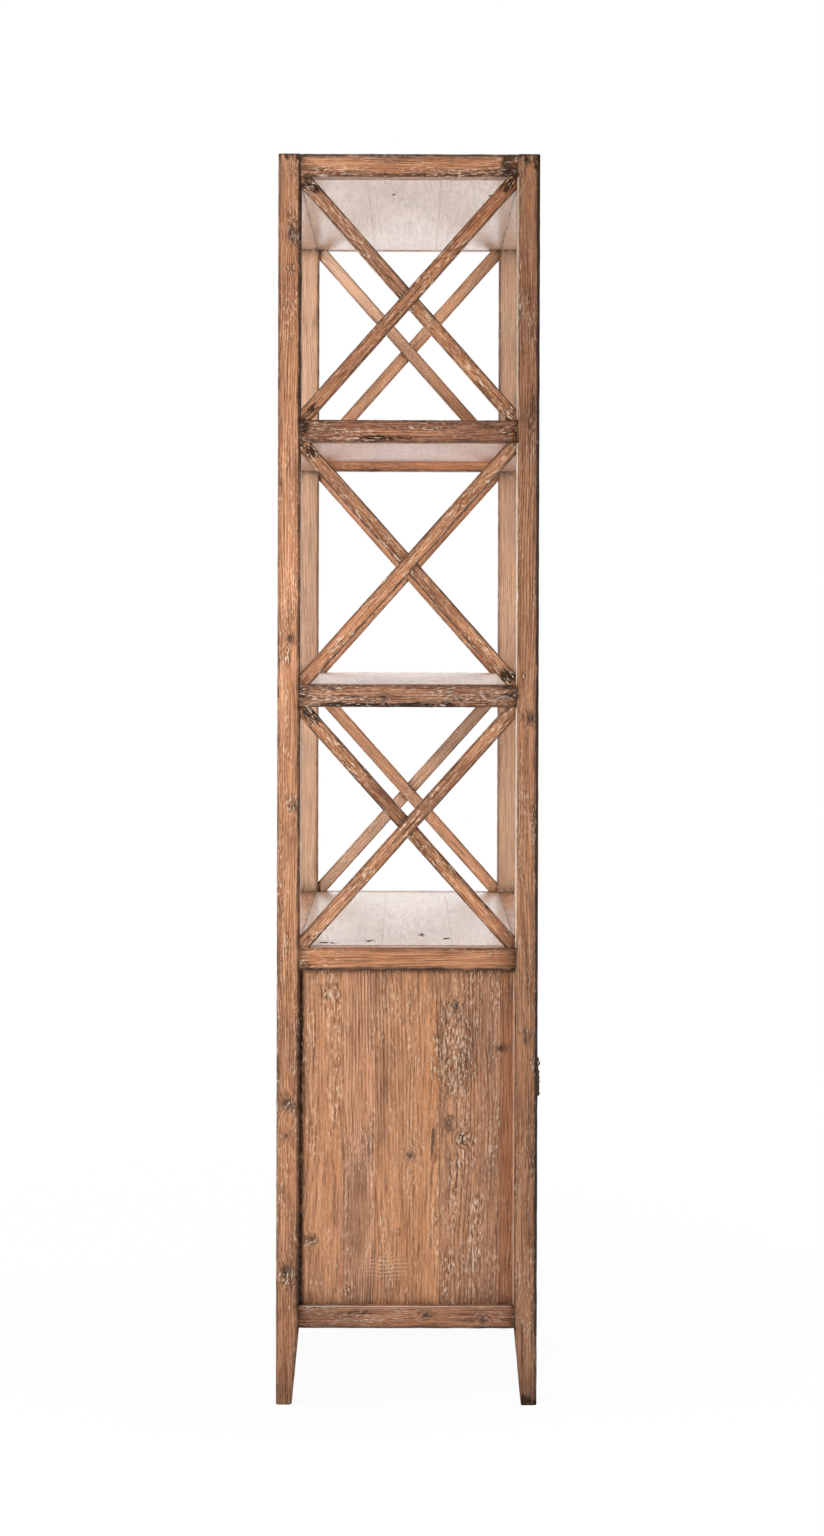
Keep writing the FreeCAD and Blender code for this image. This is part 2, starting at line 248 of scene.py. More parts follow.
class Recipe:
    """A node tree, with a short word for each thing that a finish does in it."""

    def __init__(self, tree):
        self.tree = tree

    def put(self, value, socket):
        if isinstance(value, bpy.types.NodeSocket):
            self.tree.links.new(value, socket)
        elif value is not None:
            socket.default_value = value

    def node(self, kind, *given, **settings):
        """A node with its settings. What is given goes to its first inputs; None leaves one as it is."""
        node = self.tree.nodes.new(kind)
        for name, value in settings.items():
            setattr(node, name, value)
        for socket, value in zip(node.inputs, given):
            self.put(value, socket)
        return node

    def kept(self, key, output="Fac"):
        """What timber_piece kept on the points under this name."""
        return self.node("ShaderNodeAttribute", attribute_name=key).outputs[output]

    def maths(self, what, *values, clamp=False):
        return self.node("ShaderNodeMath", *values, operation=what, use_clamp=clamp).outputs[0]

    def times(self, *values, clamp=False):
        return self.maths("MULTIPLY", *values, clamp=clamp)

    def plus(self, base, value, factor, clamp=False):
        return self.maths("MULTIPLY_ADD", value, factor, base, clamp=clamp)

    def most(self, *values):
        return self.maths("MAXIMUM", *values)

    def vector(self, what, *values, output=0):
        return self.node("ShaderNodeVectorMath", *values, operation=what).outputs[output]

    def between(self, value, low, high, to_low=0.0, to_high=1.0):
        """Rises smoothly from to_low to to_high as the value goes from low to high."""
        return self.node("ShaderNodeMapRange", value, low, high, to_low, to_high,
                         interpolation_type="SMOOTHSTEP").outputs[0]

    def mottle(self, vector, along, across, through=None, detail=2.0, rough=0.5):
        """Uneven spots, so many to the metre along the grain, across it and through it."""
        vector = self.vector("MULTIPLY", vector, (along, across, across if through is None else through))
        return self.node("ShaderNodeTexNoise", vector, None, 1.0, detail, rough).outputs["Fac"]

    def blend(self, amount, under, over):
        """One colour laid over another by an amount."""
        node = self.node("ShaderNodeMix", amount, data_type="RGBA")
        sockets = {socket.identifier: socket for socket in node.inputs}
        for name, value in (("A_Color", under), ("B_Color", over)):
            self.put((*value, 1.0) if isinstance(value, tuple) else value, sockets[name])
        return next(socket for socket in node.outputs if socket.identifier == "Result_Color")

    def bump(self, height, depth, strength, shader):
        node = self.node("ShaderNodeBump", strength, depth)
        self.put(height, node.inputs["Height"])
        self.put(node.outputs[0], shader.inputs["Normal"])


def new_finish(name):
    """A material, its recipe and its shader."""
    finish = bpy.data.materials.new(name)
    finish.use_nodes = True
    return finish, Recipe(finish.node_tree), finish.node_tree.nodes["Principled BSDF"]


PALE, BROWN, DARK = (0.635, 0.290, 0.137), (0.385, 0.150, 0.060), (0.115, 0.042, 0.018)
CRACK, KNOT, KNOT_HALO = (0.045, 0.022, 0.014), (0.075, 0.032, 0.017), (0.165, 0.070, 0.033)
# The colours of wax dirt and grime also stand for painted shade in some places.
WAX_DIRT_AND_SHADE, GRIME_AND_SHADE = (0.060, 0.030, 0.018), (0.055, 0.030, 0.019)
# The bare wood colour is also a painted reflection on some rail undersides; the pale arris colour beside it
# is a painted highlight.
BARE_WOOD_AND_SHEEN, PAINTED_HIGHLIGHT, LIME = (0.66, 0.45, 0.33), (0.95, 0.72, 0.55), (0.86, 0.66, 0.49)
SAW_STEP = 0.0062


def laid(axis, at, half, **kinds):
    """Marks of each kind on a face across an axis: two coordinates and two half sizes each."""
    marks = []
    for kind, places in kinds.items():
        for first, second, half_first, half_second in places:
            place, size = [first, second], [half_first, half_second]
            place.insert(axis, at)
            size.insert(axis, half)
            marks.append((kind, place, size))
    return marks


def spread_marks(make, marks, worn, radius):
    """How far each kind of mark covers a point, and the radius of the rings swollen at the knots."""
    fields = dict.fromkeys(("knot", "halo", "lime", "stain", "shade", "saw"))
    if marks:
        here = make.node("ShaderNodeTexCoord").outputs["Object"]
    for kind, place, half in marks:
        scaled = make.vector("MULTIPLY", make.vector("SUBTRACT", here, place), [1 / v for v in half])
        size = make.vector("LENGTH", scaled, output="Value")
        spots = {kind: make.between(size, 0.35, 1.1, 1.0, 0.0)}
        if kind in ("stain", "lime"):
            ragged = make.plus(make.maths("ADD", size, 1.5), worn, -3.0)
            spots[kind] = make.between(ragged, 0.55, 1.15, 1.0, 0.0)
        if kind == "knot":
            radius = make.maths("ADD", radius, make.between(size, 0.0, 3.0, 0.009, 0.0))
            spots["halo"] = make.between(size, 0.6, 2.4, 1.0, 0.0)
        for key, spot in spots.items():
            fields[key] = spot if fields[key] is None else make.most(fields[key], spot)
    return fields, radius


def old_pine(name, pale=PALE, brown=BROWN, marks=(), ring=0.0046, rough=0.40, relief=0.0008,
             shine=0.3, saw=0.0, fibres=(14.0, 420.0), specks=(110.0, 420.0), contrast=1.0,
             patches=0.0, crossed=0.0, dark=DARK):
    """Old pine under thin wax: rings, fibres, drying checks, lime left in the pores, dark arrises,
    and painted shade and highlights on some arrises and corners.

    Each mark is a knot, a drift of lime, a stain, a soft shade or a patch of saw marks, at a place
    with its half sizes. Saw marks and scouring, where wanted, cross the grain.
    """
    finish, make, shader = new_finish(name)
    grain, tone = make.kept("grain", "Vector"), make.kept("tone", "Vector")
    arris, stain, figure, lime = (make.kept(key) for key in ("arris", "joint", "figure", "lime"))
    along, across, through = make.node("ShaderNodeSeparateXYZ", grain).outputs

    # Rings: how far the point lies from the tree's middle, swayed slowly along the stick.
    squares = make.maths("ADD", make.times(across, across), make.times(through, through))
    slow = make.mottle(grain, 2.3, 11.0)
    worn = make.mottle(grain, 40.0, 110.0, detail=4.0, rough=0.7)
    radius = make.plus(make.maths("SQRT", squares), slow, 0.030)
    fields, radius = spread_marks(make, marks, worn, radius)
    turn = make.maths("FRACT", make.maths("DIVIDE", radius, ring))
    late = make.times(make.between(turn, 0.45, 0.88), make.between(turn, 0.90, 1.0, 1.0, 0.0))
    shown = make.times(figure, make.between(make.mottle(grain, 4.0, 30.0), 0.36, 0.60, 0.15, 1.0))
    if fields["halo"]:
        shown = make.most(shown, fields["halo"])
    late = make.times(late, shown)

    # Fibres and streaks follow the rings, so they bend round the knots as the rings do.
    askew = make.times(make.maths("SUBTRACT", across, through), 0.7)
    flow = make.node("ShaderNodeCombineXYZ", along, radius, askew).outputs[0]
    fibre = make.mottle(flow, *fibres, detail=3.0, rough=0.62)
    streak = make.mottle(flow, 3.2, 105.0, detail=3.0, rough=0.60)
    cloud = make.mottle(grain, 5.5, 16.0, detail=3.0, rough=0.6)
    ruddy = make.mottle(grain, 3.0, 21.0, 19.0)
    colour = make.blend(make.between(streak, 0.32, 0.68), brown, pale)
    colour = make.blend(make.between(ruddy, 0.46, 0.68, 0.0, 0.42), colour,
                        (brown[0] * 1.08, brown[1] * 0.96, brown[2] * 0.78))
    colour = make.blend(make.between(cloud, 0.46, 0.66, 0.0, 0.70 * min(1.0, 0.2 + contrast)), colour,
                        (brown[0] * 0.66, brown[1] * 0.71, brown[2] * 0.80))
    colour = make.blend(make.times(late, 0.80), colour, dark)
    colour = make.blend(make.between(fibre, 0.52, 0.66, 0.0, min(0.9, 0.70 * contrast)), colour, dark)
    colour = make.blend(make.between(fibre, 0.48, 0.37, 0.0, 0.45 * contrast), colour,
                        tuple(min(0.85, 1.10 * v + 0.08) for v in pale))
    if crossed:
        scoured = make.mottle(grain, 46.0, 5.0, detail=4.0, rough=0.66)
        colour = make.blend(make.between(scoured, 0.51, 0.68, 0.0, crossed), colour, brown)
        colour = make.blend(make.between(scoured, 0.60, 0.72, 0.0, crossed), colour, dark)

    # Lime that the brush left in the open pores, in drifts, and pits with none left.
    pores = make.mottle(flow, *specks, detail=3.0, rough=0.65)
    drifts = make.between(make.mottle(grain, 9.0, 34.0, 36.0, detail=3.0, rough=0.6), 0.45, 0.63, 0.22, 1.0)
    drifts = make.times(drifts, lime)
    if fields["lime"]:
        drifts = make.plus(drifts, fields["lime"], 1.8)
    left = make.times(make.between(pores, 0.54, 0.63), drifts, clamp=True)
    pits = make.times(make.between(pores, 0.44, 0.35), make.plus(make.times(lime, 0.20), drifts, 0.75))
    colour = make.blend(make.times(pits, contrast, clamp=True), colour, dark)
    if saw:
        cuts = make.plus(make.maths("DIVIDE", along, SAW_STEP), slow, 4.0)
        cuts = make.maths("FRACT", cuts)
        cuts = make.times(make.between(cuts, 0.55, 0.85), make.between(cuts, 0.86, 1.0, 1.0, 0.0))
        worked = make.between(make.mottle(grain, 9.0, 16.0, 17.0, detail=1.0), 0.66, 0.78, 0.0, saw)
        if fields["saw"]:
            worked = make.most(worked, make.times(fields["saw"], 0.8))
        cuts = make.times(make.times(cuts, worked), make.between(fibre, 0.40, 0.60))
        left = make.most(left, cuts)

    # Long drying checks, then the knots and the shades.
    checks = make.mottle(flow, 1.7, 120.0, 31.0, detail=1.0)
    gap = make.maths("ABSOLUTE", make.maths("SUBTRACT", checks, 0.5))
    where = make.between(make.mottle(grain, 6.0, 30.0, 31.0, detail=1.0), 0.67, 0.75)
    check = make.times(make.between(gap, 0.003, 0.016, 1.0, 0.0), where)
    colour = make.blend(make.times(check, 0.80), colour, CRACK)
    for key, amount in (("halo", 0.46), ("shade", 0.42)):
        if fields[key]:
            colour = make.blend(make.times(fields[key], amount), colour, KNOT_HALO)
    if fields["knot"]:
        core = make.times(fields["knot"], make.between(fibre, 0.30, 0.62, 0.45, 1.0))
        colour = make.blend(core, colour, KNOT)
    colour = make.blend(make.kept("bare_and_sheen"), colour, BARE_WOOD_AND_SHEEN)

    # Old dirt and wax: along the rubbed arrises, and deep in the corners where pieces meet. On some
    # arrises and corners this darkening is painted shade, and an arris given below 0 gets a painted
    # highlight.
    dirt_and_light = make.times(make.most(arris, 0.0), make.between(worn, 0.34, 0.60, 0.60, 1.0))
    colour = make.blend(make.times(dirt_and_light, 0.95, clamp=True), colour, WAX_DIRT_AND_SHADE)
    edge_dirt_and_light = make.times(make.maths("MINIMUM", arris, 0.0), make.between(worn, 0.40, 0.60, -0.7, -1.2))
    colour = make.blend(make.maths("MINIMUM", edge_dirt_and_light, 0.95), colour, PAINTED_HIGHLIGHT)
    # The stain kept at the joints also holds painted shade beside some posts and in the corners of the
    # cabinet walls.
    if fields["stain"]:
        stain = make.most(stain, make.times(fields["stain"], 1.25))
    stain = make.times(stain, make.between(worn, 0.38, 0.54, 0.45, 1.0))
    if patches:
        grimy = make.mottle(grain, 10.0, 62.0, 64.0, detail=3.0, rough=0.62)
        grimy = make.between(grimy, 0.55, 0.72, 0.0, patches)
        stain = make.most(stain, make.times(grimy, figure))
    colour = make.blend(make.times(stain, 0.82, clamp=True), colour, GRIME_AND_SHADE)
    colour = make.blend(make.times(left, make.plus(1.0, dirt_and_light, -0.55, clamp=True)), colour, LIME)
    make.put(make.vector("MULTIPLY", colour, tone), shader.inputs["Base Color"])

    dull = make.plus(make.plus(rough - 0.12, fibre, 0.24), left, 0.20)
    make.put(make.plus(dull, dirt_and_light, 0.30), shader.inputs["Roughness"])
    dry = make.plus(shine, stain, -1.3 * shine, clamp=True)
    make.put(dry, shader.inputs["Specular IOR Level"])
    if relief:
        height = make.plus(make.times(fibre, -1.6), late, 0.8)
        height = make.plus(height, make.times(pores, drifts), 2.6)
        height = make.maths("SUBTRACT", height, make.times(check, 1.6))
        make.bump(height, relief, 1.0, shader)
    return finish


END_X, MARK_DEEP = -0.5, 0.02  # marks on the end that shows reach this far into the wood
post_marks = {
    "post_back_left": laid(
        0, END_X, MARK_DEEP,
        knot=[(0.1976, 1.871, 0.0101, 0.013), (0.2016, 1.2268, 0.0072, 0.0087),
              (0.1952, 0.9579, 0.0058, 0.0058), (0.2048, 0.4826, 0.0116, 0.0101),
              (0.2064, 0.4313, 0.0043, 0.0043), (0.2048, 0.2137, 0.013, 0.013)],
        lime=[(0.1946, 1.866, 0.010, 0.012), (0.1996, 1.816, 0.008, 0.008), (0.208, 1.1996, 0.008, 0.016),
              (0.1968, 0.9643, 0.009, 0.014), (0.1968, 0.4761, 0.011, 0.010),
              (0.2048, 0.7402, 0.005, 0.018), (0.2, 1.8958, 0.008, 0.02), (0.2028, 0.2010, 0.014, 0.014)],
        stain=[(0.2208, 1.1436, 0.003, 0.012), (0.2016, 2.0, 0.024, 0.012)],
        shade=[(0.2144, 0.0232, 0.02, 0.018)]),
    "post_front_left": laid(
        0, END_X, MARK_DEEP,
        knot=[(-0.1842, 1.1003, 0.0087, 0.0087)],
        lime=[(-0.1778, 0.5994, 0.012, 0.005), (-0.1714, 1.1676, 0.004, 0.004),
              (-0.1874, 0.5514, 0.006, 0.02), (-0.189, 0.9355, 0.006, 0.03)],
        stain=[(-0.1900, 2.0, 0.028, 0.024), (-0.179, 0.004, 0.013, 0.014), (-0.1618, 1.1436, 0.004, 0.016)],
        shade=[(-0.181, 0.020, 0.020, 0.030)])}
tone_heights = (0.4, 0.95, 1.35, 1.85)  # the finish has darkened unevenly from the floor up
post_tones = {"post_back_left": (1.00, 1.10, 1.20, 0.98), "post_back_right": (1.00, 1.00, 0.98, 1.16),
              "post_front_left": (0.74, 0.80, 0.83, 0.77), "post_front_right": (1.00, 1.10, 1.14, 1.04)}
# Bands of painted shade, with some dirt, beside the inner arris of two posts.
dark_bands = {  # beside the inner arris: heights, how dark it is there, and how far it reaches
    "post_front_left": ((0.80, 1.12, 1.50, 1.60), (0.05, 0.22, 0.05, 0.50), 0.006),
    "post_back_left": ((0.15, 0.70, 0.78, 1.50, 1.60), (0.40, 0.40, 0.05, 0.10, 0.90), 0.0045)}
post_joints = sorted({z for level in LEVELS.values() for z in (level, level - RAIL_HIGH)})
post_finish = old_pine("post_pine", ring=0.0040, patches=0.8)
for number, (node, tones) in enumerate(post_tones.items()):
    low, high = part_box(node)
    outer_x, toward_x = (low.x, 1) if low.x < 0 else (high.x, -1)
    outer_y, toward_y = (low.y, 1) if low.y < 0 else (high.y, -1)
    foot_fade = 0.36 if node == "post_front_left" else 0.30

    def post_side(s, width=high.x - low.x):
        side = FOOT_SIDE + (width - FOOT_SIDE) * min(1.0, s / FOOT_TOP)
        return (*sorted((0.0, toward_x * side)), *sorted((0.0, toward_y * side)))

    def darker_foot(s):
        near_floor = np.clip(1.0 - s / (1.7 * FOOT_TOP), 0, 1) ** 0.8
        return np.interp(s, tone_heights, tones) * (1.0 - foot_fade * near_floor)

    finish = post_finish
    if node in post_marks:
        finish = old_pine(node + "_pine", marks=post_marks[node], ring=0.0040, patches=0.8)
    # At the ends of the bookcase the inner arris of a back post is worn round and dark with dirt and
    # painted shade. That of a front post carries a painted highlight above the cabinet, and its outer
    # arris carries painted shade.
    arrises, arris_dirt_and_light, soaks = [0.003] * 4, [0.7] * 4, [0.0018] * 4
    end_inner, end_outer = (3, 2) if low.x < 0 else (0, 1)
    if low.y < 0:
        end_inner, end_outer = end_outer, end_inner
        arrises[end_inner], arris_dirt_and_light[end_inner], soaks[end_inner] = 0.0020, -1.1, 0.0005
        arrises[end_outer], arris_dirt_and_light[end_outer] = 0.0042, 1.8
    else:
        arrises[end_inner], arris_dirt_and_light[end_inner], soaks[end_inner] = 0.0042, 1.15, 0.0012
    stick = worn_bar(
        (outer_x, outer_y, 0.0), (0, 0, 1), (1, 0, 0), TOP, post_side, 11 + number, arris=arrises,
        joints=post_joints, stained=0.012, tone=(1.0, 1.02, 1.04), dents=8, dirt_and_light=arris_dirt_and_light, soak=soaks,
        figure=0.8, lime=0.65, grooved=False, fade=darker_foot)
    # The stain where a rail or a brace meets the post fades across it.
    p = stick["points"]
    inner_x, inner_y = outer_x + toward_x * (high.x - low.x), outer_y + toward_y * (high.y - low.y)
    reach = np.minimum(np.abs(p[:, 0] - inner_x), np.abs(p[:, 1] - inner_y))
    stick["joint"] *= np.exp(-reach / 0.006)
    # Beside the inner arris, a band of painted shade with some dirt darkens the post at these heights.
    if node in dark_bands:
        heights, depths, wide = dark_bands[node]
        band = np.interp(p[:, 2], heights, depths) * np.exp(-np.abs(p[:, 1] - inner_y) / wide)
        stick["joint"] = np.maximum(stick["joint"], band)
    # Beside the rails and the cabinet, an arris that carries a painted highlight is darkened instead.
    beside = p[:, 2] < LEVELS["cabinet_top"]
    for level in LEVELS.values():
        beside |= (p[:, 2] > level - RAIL_HIGH) & (p[:, 2] < level)
    stick["arris"] = np.where(beside & (stick["arris"] < 0), -0.8 * stick["arris"], stick["arris"])
    stick["arris"] *= np.interp(p[:, 2], (FOOT_TOP - 0.02, FOOT_TOP, 1.50, 1.60), (0.45, 1.0, 1.0, 1.35))
    paler_inside(stick, p[:, 0] - inner_x, (1.30, 1.40, 1.40), 0.42)
    dress(node, [stick], finish)

# Rails. Each level is a frame of four rails as thick as the posts, tenoned into them. The joints
# are dry now, so a dark line shows at every shoulder.

SUNK = 0.0012  # the shoulders close this far into the posts
REBATE_DEEP, PANEL_SET_BACK, DOOR_ROOM = 0.0061, 0.006, 0.0225  # the doors close into a rebate
end_marks = {
    "top": dict(
        stain=[(0.0500, 1.9680, 0.003, 0.0015), (-0.1530, 1.990, 0.02, 0.028)],
        lime=[(-0.0545, 1.9694, 0.08, 0.006), (0.1375, 1.9662, 0.05, 0.005)],
        shade=[(0.0255, 2.0, 0.30, 0.011)]),
    "upper_shelf": dict(
        lime=[(0.1519, 1.5661, 0.018, 0.008), (-0.1457, 1.5597, 0.016, 0.008),
              (-0.0065, 1.5629, 0.05, 0.004)],
        stain=[(0.0575, 1.5485, 0.06, 0.004), (0.1792, 1.5677, 0.008, 0.014)]),
    "lower_shelf": dict(
        knot=[(0.0511, 1.1324, 0.006, 0.007)],
        lime=[(0.1055, 1.1308, 0.06, 0.005), (-0.0945, 1.1324, 0.06, 0.006), (0.1792, 1.1356, 0.012, 0.01)],
        stain=[(0.0255, 1.1212, 0.18, 0.004), (-0.1506, 1.1436, 0.012, 0.012)]),
    "cabinet_top": dict(
        lime=[(-0.1169, 0.721, 0.008, 0.004), (0.1776, 0.7082, 0.008, 0.01)],
        shade=[(-0.1522, 0.7082, 0.030, 0.022)]),
    "cabinet_floor": dict(
        knot=[(-0.0193, 0.1448, 0.007, 0.006), (-0.1105, 0.1384, 0.006, 0.005)],
        lime=[(-0.0065, 0.1512, 0.004, 0.003), (-0.1105, 0.1272, 0.01, 0.003), (0.1455, 0.156, 0.03, 0.003)],
        shade=[(0.1375, 0.135, 0.09, 0.016)])}
rail_tones = {"top": (1.06, 1.06, 1.10), "upper_shelf": (0.76, 0.71, 0.72), "lower_shelf": (0.84, 0.87, 0.96),
              "cabinet_top": (1.06, 1.04, 1.04), "cabinet_floor": (0.71, 0.70, 0.74)}
# The rails' arrises per corner: the top rail's upper arrises are stained; the lower arrises of the cabinet
# top rail carry painted shade as well as dirt; the upper arrises of the cabinet floor rail carry a painted
# highlight.
rail_dirt_and_light = {"top": (1.3, 0.9, 0.9, 1.3), "cabinet_top": (0.8, 1.4, 1.4, 0.8),
              "cabinet_floor": (-1.3, 1.0, 1.0, -1.3)}
rail_limes = {"top": 0.95, "upper_shelf": 1.2, "lower_shelf": 1.4, "cabinet_top": 0.45, "cabinet_floor": 0.8}
# The long rails' undersides at the top and under the upper shelf are painted paler, a painted reflection of
# the white floor and room; those under the upper shelf are tinted redder.
rail_undersides = {"top": ((1.07, 1.10, 1.16), 0.85), "upper_shelf": ((0.94, 0.84, 0.80), 0.7)}
rail_finish = old_pine("rail_pine", ring=0.0038, patches=0.7, contrast=1.1)
long_rail_finish = old_pine("long_rail_pine", ring=0.0052, rough=0.32, relief=0.0002)
for number, (level, top) in enumerate(LEVELS.items()):
    half = RAIL_HIGH / 2
    quiet, lowest = level == "cabinet_top", level == "cabinet_floor"
    for side_name, side in SIDES:
        node = "end_rail_%s_%s" % (side_name, level)
        low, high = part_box(node)
        half_thick = (high.x - low.x) / 2
        finish = rail_finish
        if side_name == "left":
            finish = old_pine("end_rail_%s_pine" % level, marks=laid(0, END_X, MARK_DEEP, **end_marks[level]),
                              ring=0.0038, patches=0.35 if quiet else 0.8, contrast=0.9 if quiet else 1.15)
        length = POST_INNER_BACK - POST_INNER_FRONT + 2 * SUNK
        stick = worn_bar(
            ((low.x + high.x) / 2, POST_INNER_FRONT - SUNK, top - half), (0, 1, 0), (1, 0, 0),
            length, (half_thick, half), 40 + 2 * number + (side > 0),
            joints=(SUNK, length - SUNK), stained=0.012, tone=rail_tones[level] if side < 0 else 1.08,
            arris=(0.0010, 0.0036, 0.0036, 0.0010) if lowest else 0.0036,
            dirt_and_light=rail_dirt_and_light.get(level, (0.8, 0.9, 0.9, 0.8)), figure=0.9, lime=rail_limes[level],
            soak=(0.0004, 0.0022, 0.0022, 0.0004) if lowest else 0.0020,
            fade=(lambda s: 0.88 + 0.18 * s / length) if quiet else None)
        paler_inside(stick, stick["points"][:, 0] - (low.x if side > 0 else high.x), (1.50, 1.45, 1.35), 0.25)
        dress(node, [stick], finish)
    for face, y0, y1 in (("front", POST_FRONT, POST_INNER_FRONT), ("back", POST_INNER_BACK, POST_BACK)):
        node = "long_rail_%s_%s" % (face, level)
        wide = (y1 - y0) / 2
        length = 2 * (POST_IN_X + SUNK)
        stick = worn_bar(
            (-POST_IN_X - SUNK, (y0 + y1) / 2, top - half), (1, 0, 0), (0, 1, 0), length,
            (wide, half), 60 + 2 * number + (face == "back"),
            joints=(SUNK, length - SUNK), stained=0.012, tone=0.95, arris=0.0030, figure=0.9, lime=0.8)
        p = stick["points"]
        # Painted reflection: the long rail's underside is painted paler.
        if level in rail_undersides:
            paler_inside(stick, p[:, 2] - (top - RAIL_HIGH), *rail_undersides[level])
        if face == "front" and (quiet or lowest):
            # The rebate that the doors close into, cut along the rail's front edge.
            rebated = p[:, 1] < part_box("door_left_panel")[0].y - PANEL_SET_BACK + DOOR_ROOM
            if lowest:
                p[rebated, 2] = np.minimum(p[rebated, 2], top - REBATE_DEEP)
            else:
                p[rebated, 2] = np.maximum(p[rebated, 2], top - RAIL_HIGH + REBATE_DEEP)
        dress(node, [stick], long_rail_finish)

# Shelf boards. Planks laid along the bookcase and edge joined, level with the tops of their rails.
# The top one is as thick as its frame. Waxed until they mirror the light at a low angle.

IN_GROOVE = 0.002  # planks reach this far into posts and rails
shelf_marks = {
    "top": laid(
        2, 1.9635, 0.01,
        stain=[(-0.292, 0.039, 0.013, 0.0032), (-0.285, -0.121, 0.011, 0.0036)],
        shade=[(0.20, 0.1786, 0.12, 0.010), (0.05, 0.075, 0.16, 0.006),
               (0.26, -0.060, 0.18, 0.007), (-0.12, -0.015, 0.10, 0.005)]),
    "cabinet_top": laid(
        2, 0.733, 0.02,
        stain=[(-0.404, 0.073, 0.018, 0.0065), (-0.312, -0.011, 0.03, 0.006),
               (-0.43, 0.142, 0.012, 0.016), (-0.36, -0.052, 0.010, 0.008)]),
    "lower_shelf": laid(
        2, 1.156, 0.02,
        shade=[(-0.221, -0.036, 0.10, 0.016), (-0.30, 0.090, 0.14, 0.012), (-0.10, -0.110, 0.16, 0.014)])}
shelf_wax = {"top": (0.31, 0.5), "upper_shelf": (0.36, 0.4), "lower_shelf": (0.36, 0.4),
             "cabinet_top": (0.31, 0.5), "cabinet_floor": (0.42, 0.4)}


def seams(rng, first, last, narrow, wide, count):
    """Where planks of uneven widths meet, from the first edge to the last."""
    ends = np.cumsum(rng.uniform(narrow, wide, count))
    return first + (last - first) * np.concatenate([[0], ends / ends[-1]])


for number, (level, top) in enumerate(LEVELS.items()):
    rough, shine = shelf_wax[level]
    shelf_finish = old_pine(
        "shelf_%s_pine" % level, (0.64, 0.45, 0.34), (0.54, 0.35, 0.245), dark=(0.23, 0.12, 0.075),
        ring=0.0060, rough=rough, relief=0.0, shine=shine, contrast=0.26, crossed=0.7,
        marks=shelf_marks.get(level, ()))
    low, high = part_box("board_" + level)
    thick = high.z - low.z
    tint = np.array((0.99, 0.97, 0.96) if level == "top" else (0.92, 0.95, 0.99))
    rng = np.random.default_rng(300 + number)
    cuts = seams(rng, POST_INNER_FRONT - IN_GROOVE, POST_INNER_BACK + IN_GROOVE, 0.8, 1.25, 3)
    sticks = []
    for plank, (y0, y1) in enumerate(zip(cuts[:-1], cuts[1:])):
        wide = (y1 - y0) / 2
        stick = worn_bar(
            (-POST_IN_X - IN_GROOVE, (y0 + y1) / 2, top - thick / 2), (1, 0, 0), (0, 1, 0),
            2 * (POST_IN_X + IN_GROOVE), (wide, thick / 2),
            320 + 5 * number + plank, arris=0.0001, step=0.012, tone=rng.uniform(0.97, 1.03) * tint,
            joints=(IN_GROOVE, 2 * POST_IN_X + IN_GROOVE), stained=0.0015, dents=0, wear=0.0001,
            soak=0.0008, dirt_and_light=0.2, grooved=False, figure=0.3, lime=0.2,
            pith=(rng.uniform(-0.03, 0.03), rng.uniform(0.035, 0.07)))
        stick["joint"] = np.maximum(stick["joint"], 0.12)
        if level == "upper_shelf":
            # Its underside, which never was waxed, has darkened and reddened.
            under = stick["points"][:, 2] < top - thick / 2
            stick["tone"][under] *= (1.06, 0.67, 0.47)
        sticks.append(stick)
    board = timber_piece("planks_" + level, sticks, shelf_finish)
    fit(board, "cabinet", "board_" + level)

# Cabinet walls. Upright planks of different old boards, edge joined and let into grooves in the
# middle of the posts and rails, at both ends and across the back.

WALL_PALE, WALL_BROWN = (0.635, 0.308, 0.153), (0.445, 0.198, 0.092)
WALL_SEAM, PANEL_SEAM = 0.00005, 0.00015  # half the gap between two planks
wall_planks = [  # from the back post to the front: width, tone, strength of rings, lime, pith
    (0.072, (0.94, 0.92, 0.90), 0.5, 0.60, (0.020, 0.060)),
    (0.050, (1.02, 1.03, 1.08), 1.2, 0.5, (0.120, 0.030)),
    (0.102, (0.97, 0.95, 0.91), 0.9, 0.55, (0.060, 0.040)),
    (0.096, (0.82, 0.82, 0.84), 0.9, 1.0, (-0.060, 0.060)),
    (0.024, (0.64, 0.54, 0.47), 0.5, 0.4, (0.080, 0.020))]
wall_marks = laid(
    0, -0.488, 0.03,
    knot=[(-0.0657, 0.6378, 0.005, 0.006), (-0.1393, 0.5706, 0.009, 0.005), (0.0079, 0.3977, 0.007, 0.006),
          (-0.0753, 0.4249, 0.008, 0.007), (0.1663, 0.2633, 0.007, 0.006), (-0.0537, 0.4503, 0.005, 0.007)],
    lime=[(0.1359, 0.6602, 0.018, 0.014), (0.0271, 0.2761, 0.006, 0.006), (0.1663, 0.2585, 0.01, 0.012),
          (-0.0625, 0.5674, 0.034, 0.07), (0.1071, 0.1801, 0.006, 0.008)],
    shade=[(-0.0497, 0.4473, 0.012, 0.022), (0.0175, 0.6186, 0.007, 0.012), (-0.1313, 0.1641, 0.03, 0.024),
           (0.1728, 0.1641, 0.02, 0.020), (0.0855, 0.3073, 0.022, 0.10)],
    saw=[(0.0447, 0.2185, 0.045, 0.026)])
wall_look = dict(saw=0.15, fibres=(18.0, 400.0), specks=(100.0, 440.0), contrast=0.9)
end_wall = old_pine("end_wall_pine", WALL_PALE, WALL_BROWN, marks=wall_marks, **wall_look)
plain_wall = old_pine("wall_pine", WALL_PALE, WALL_BROWN, **wall_look)
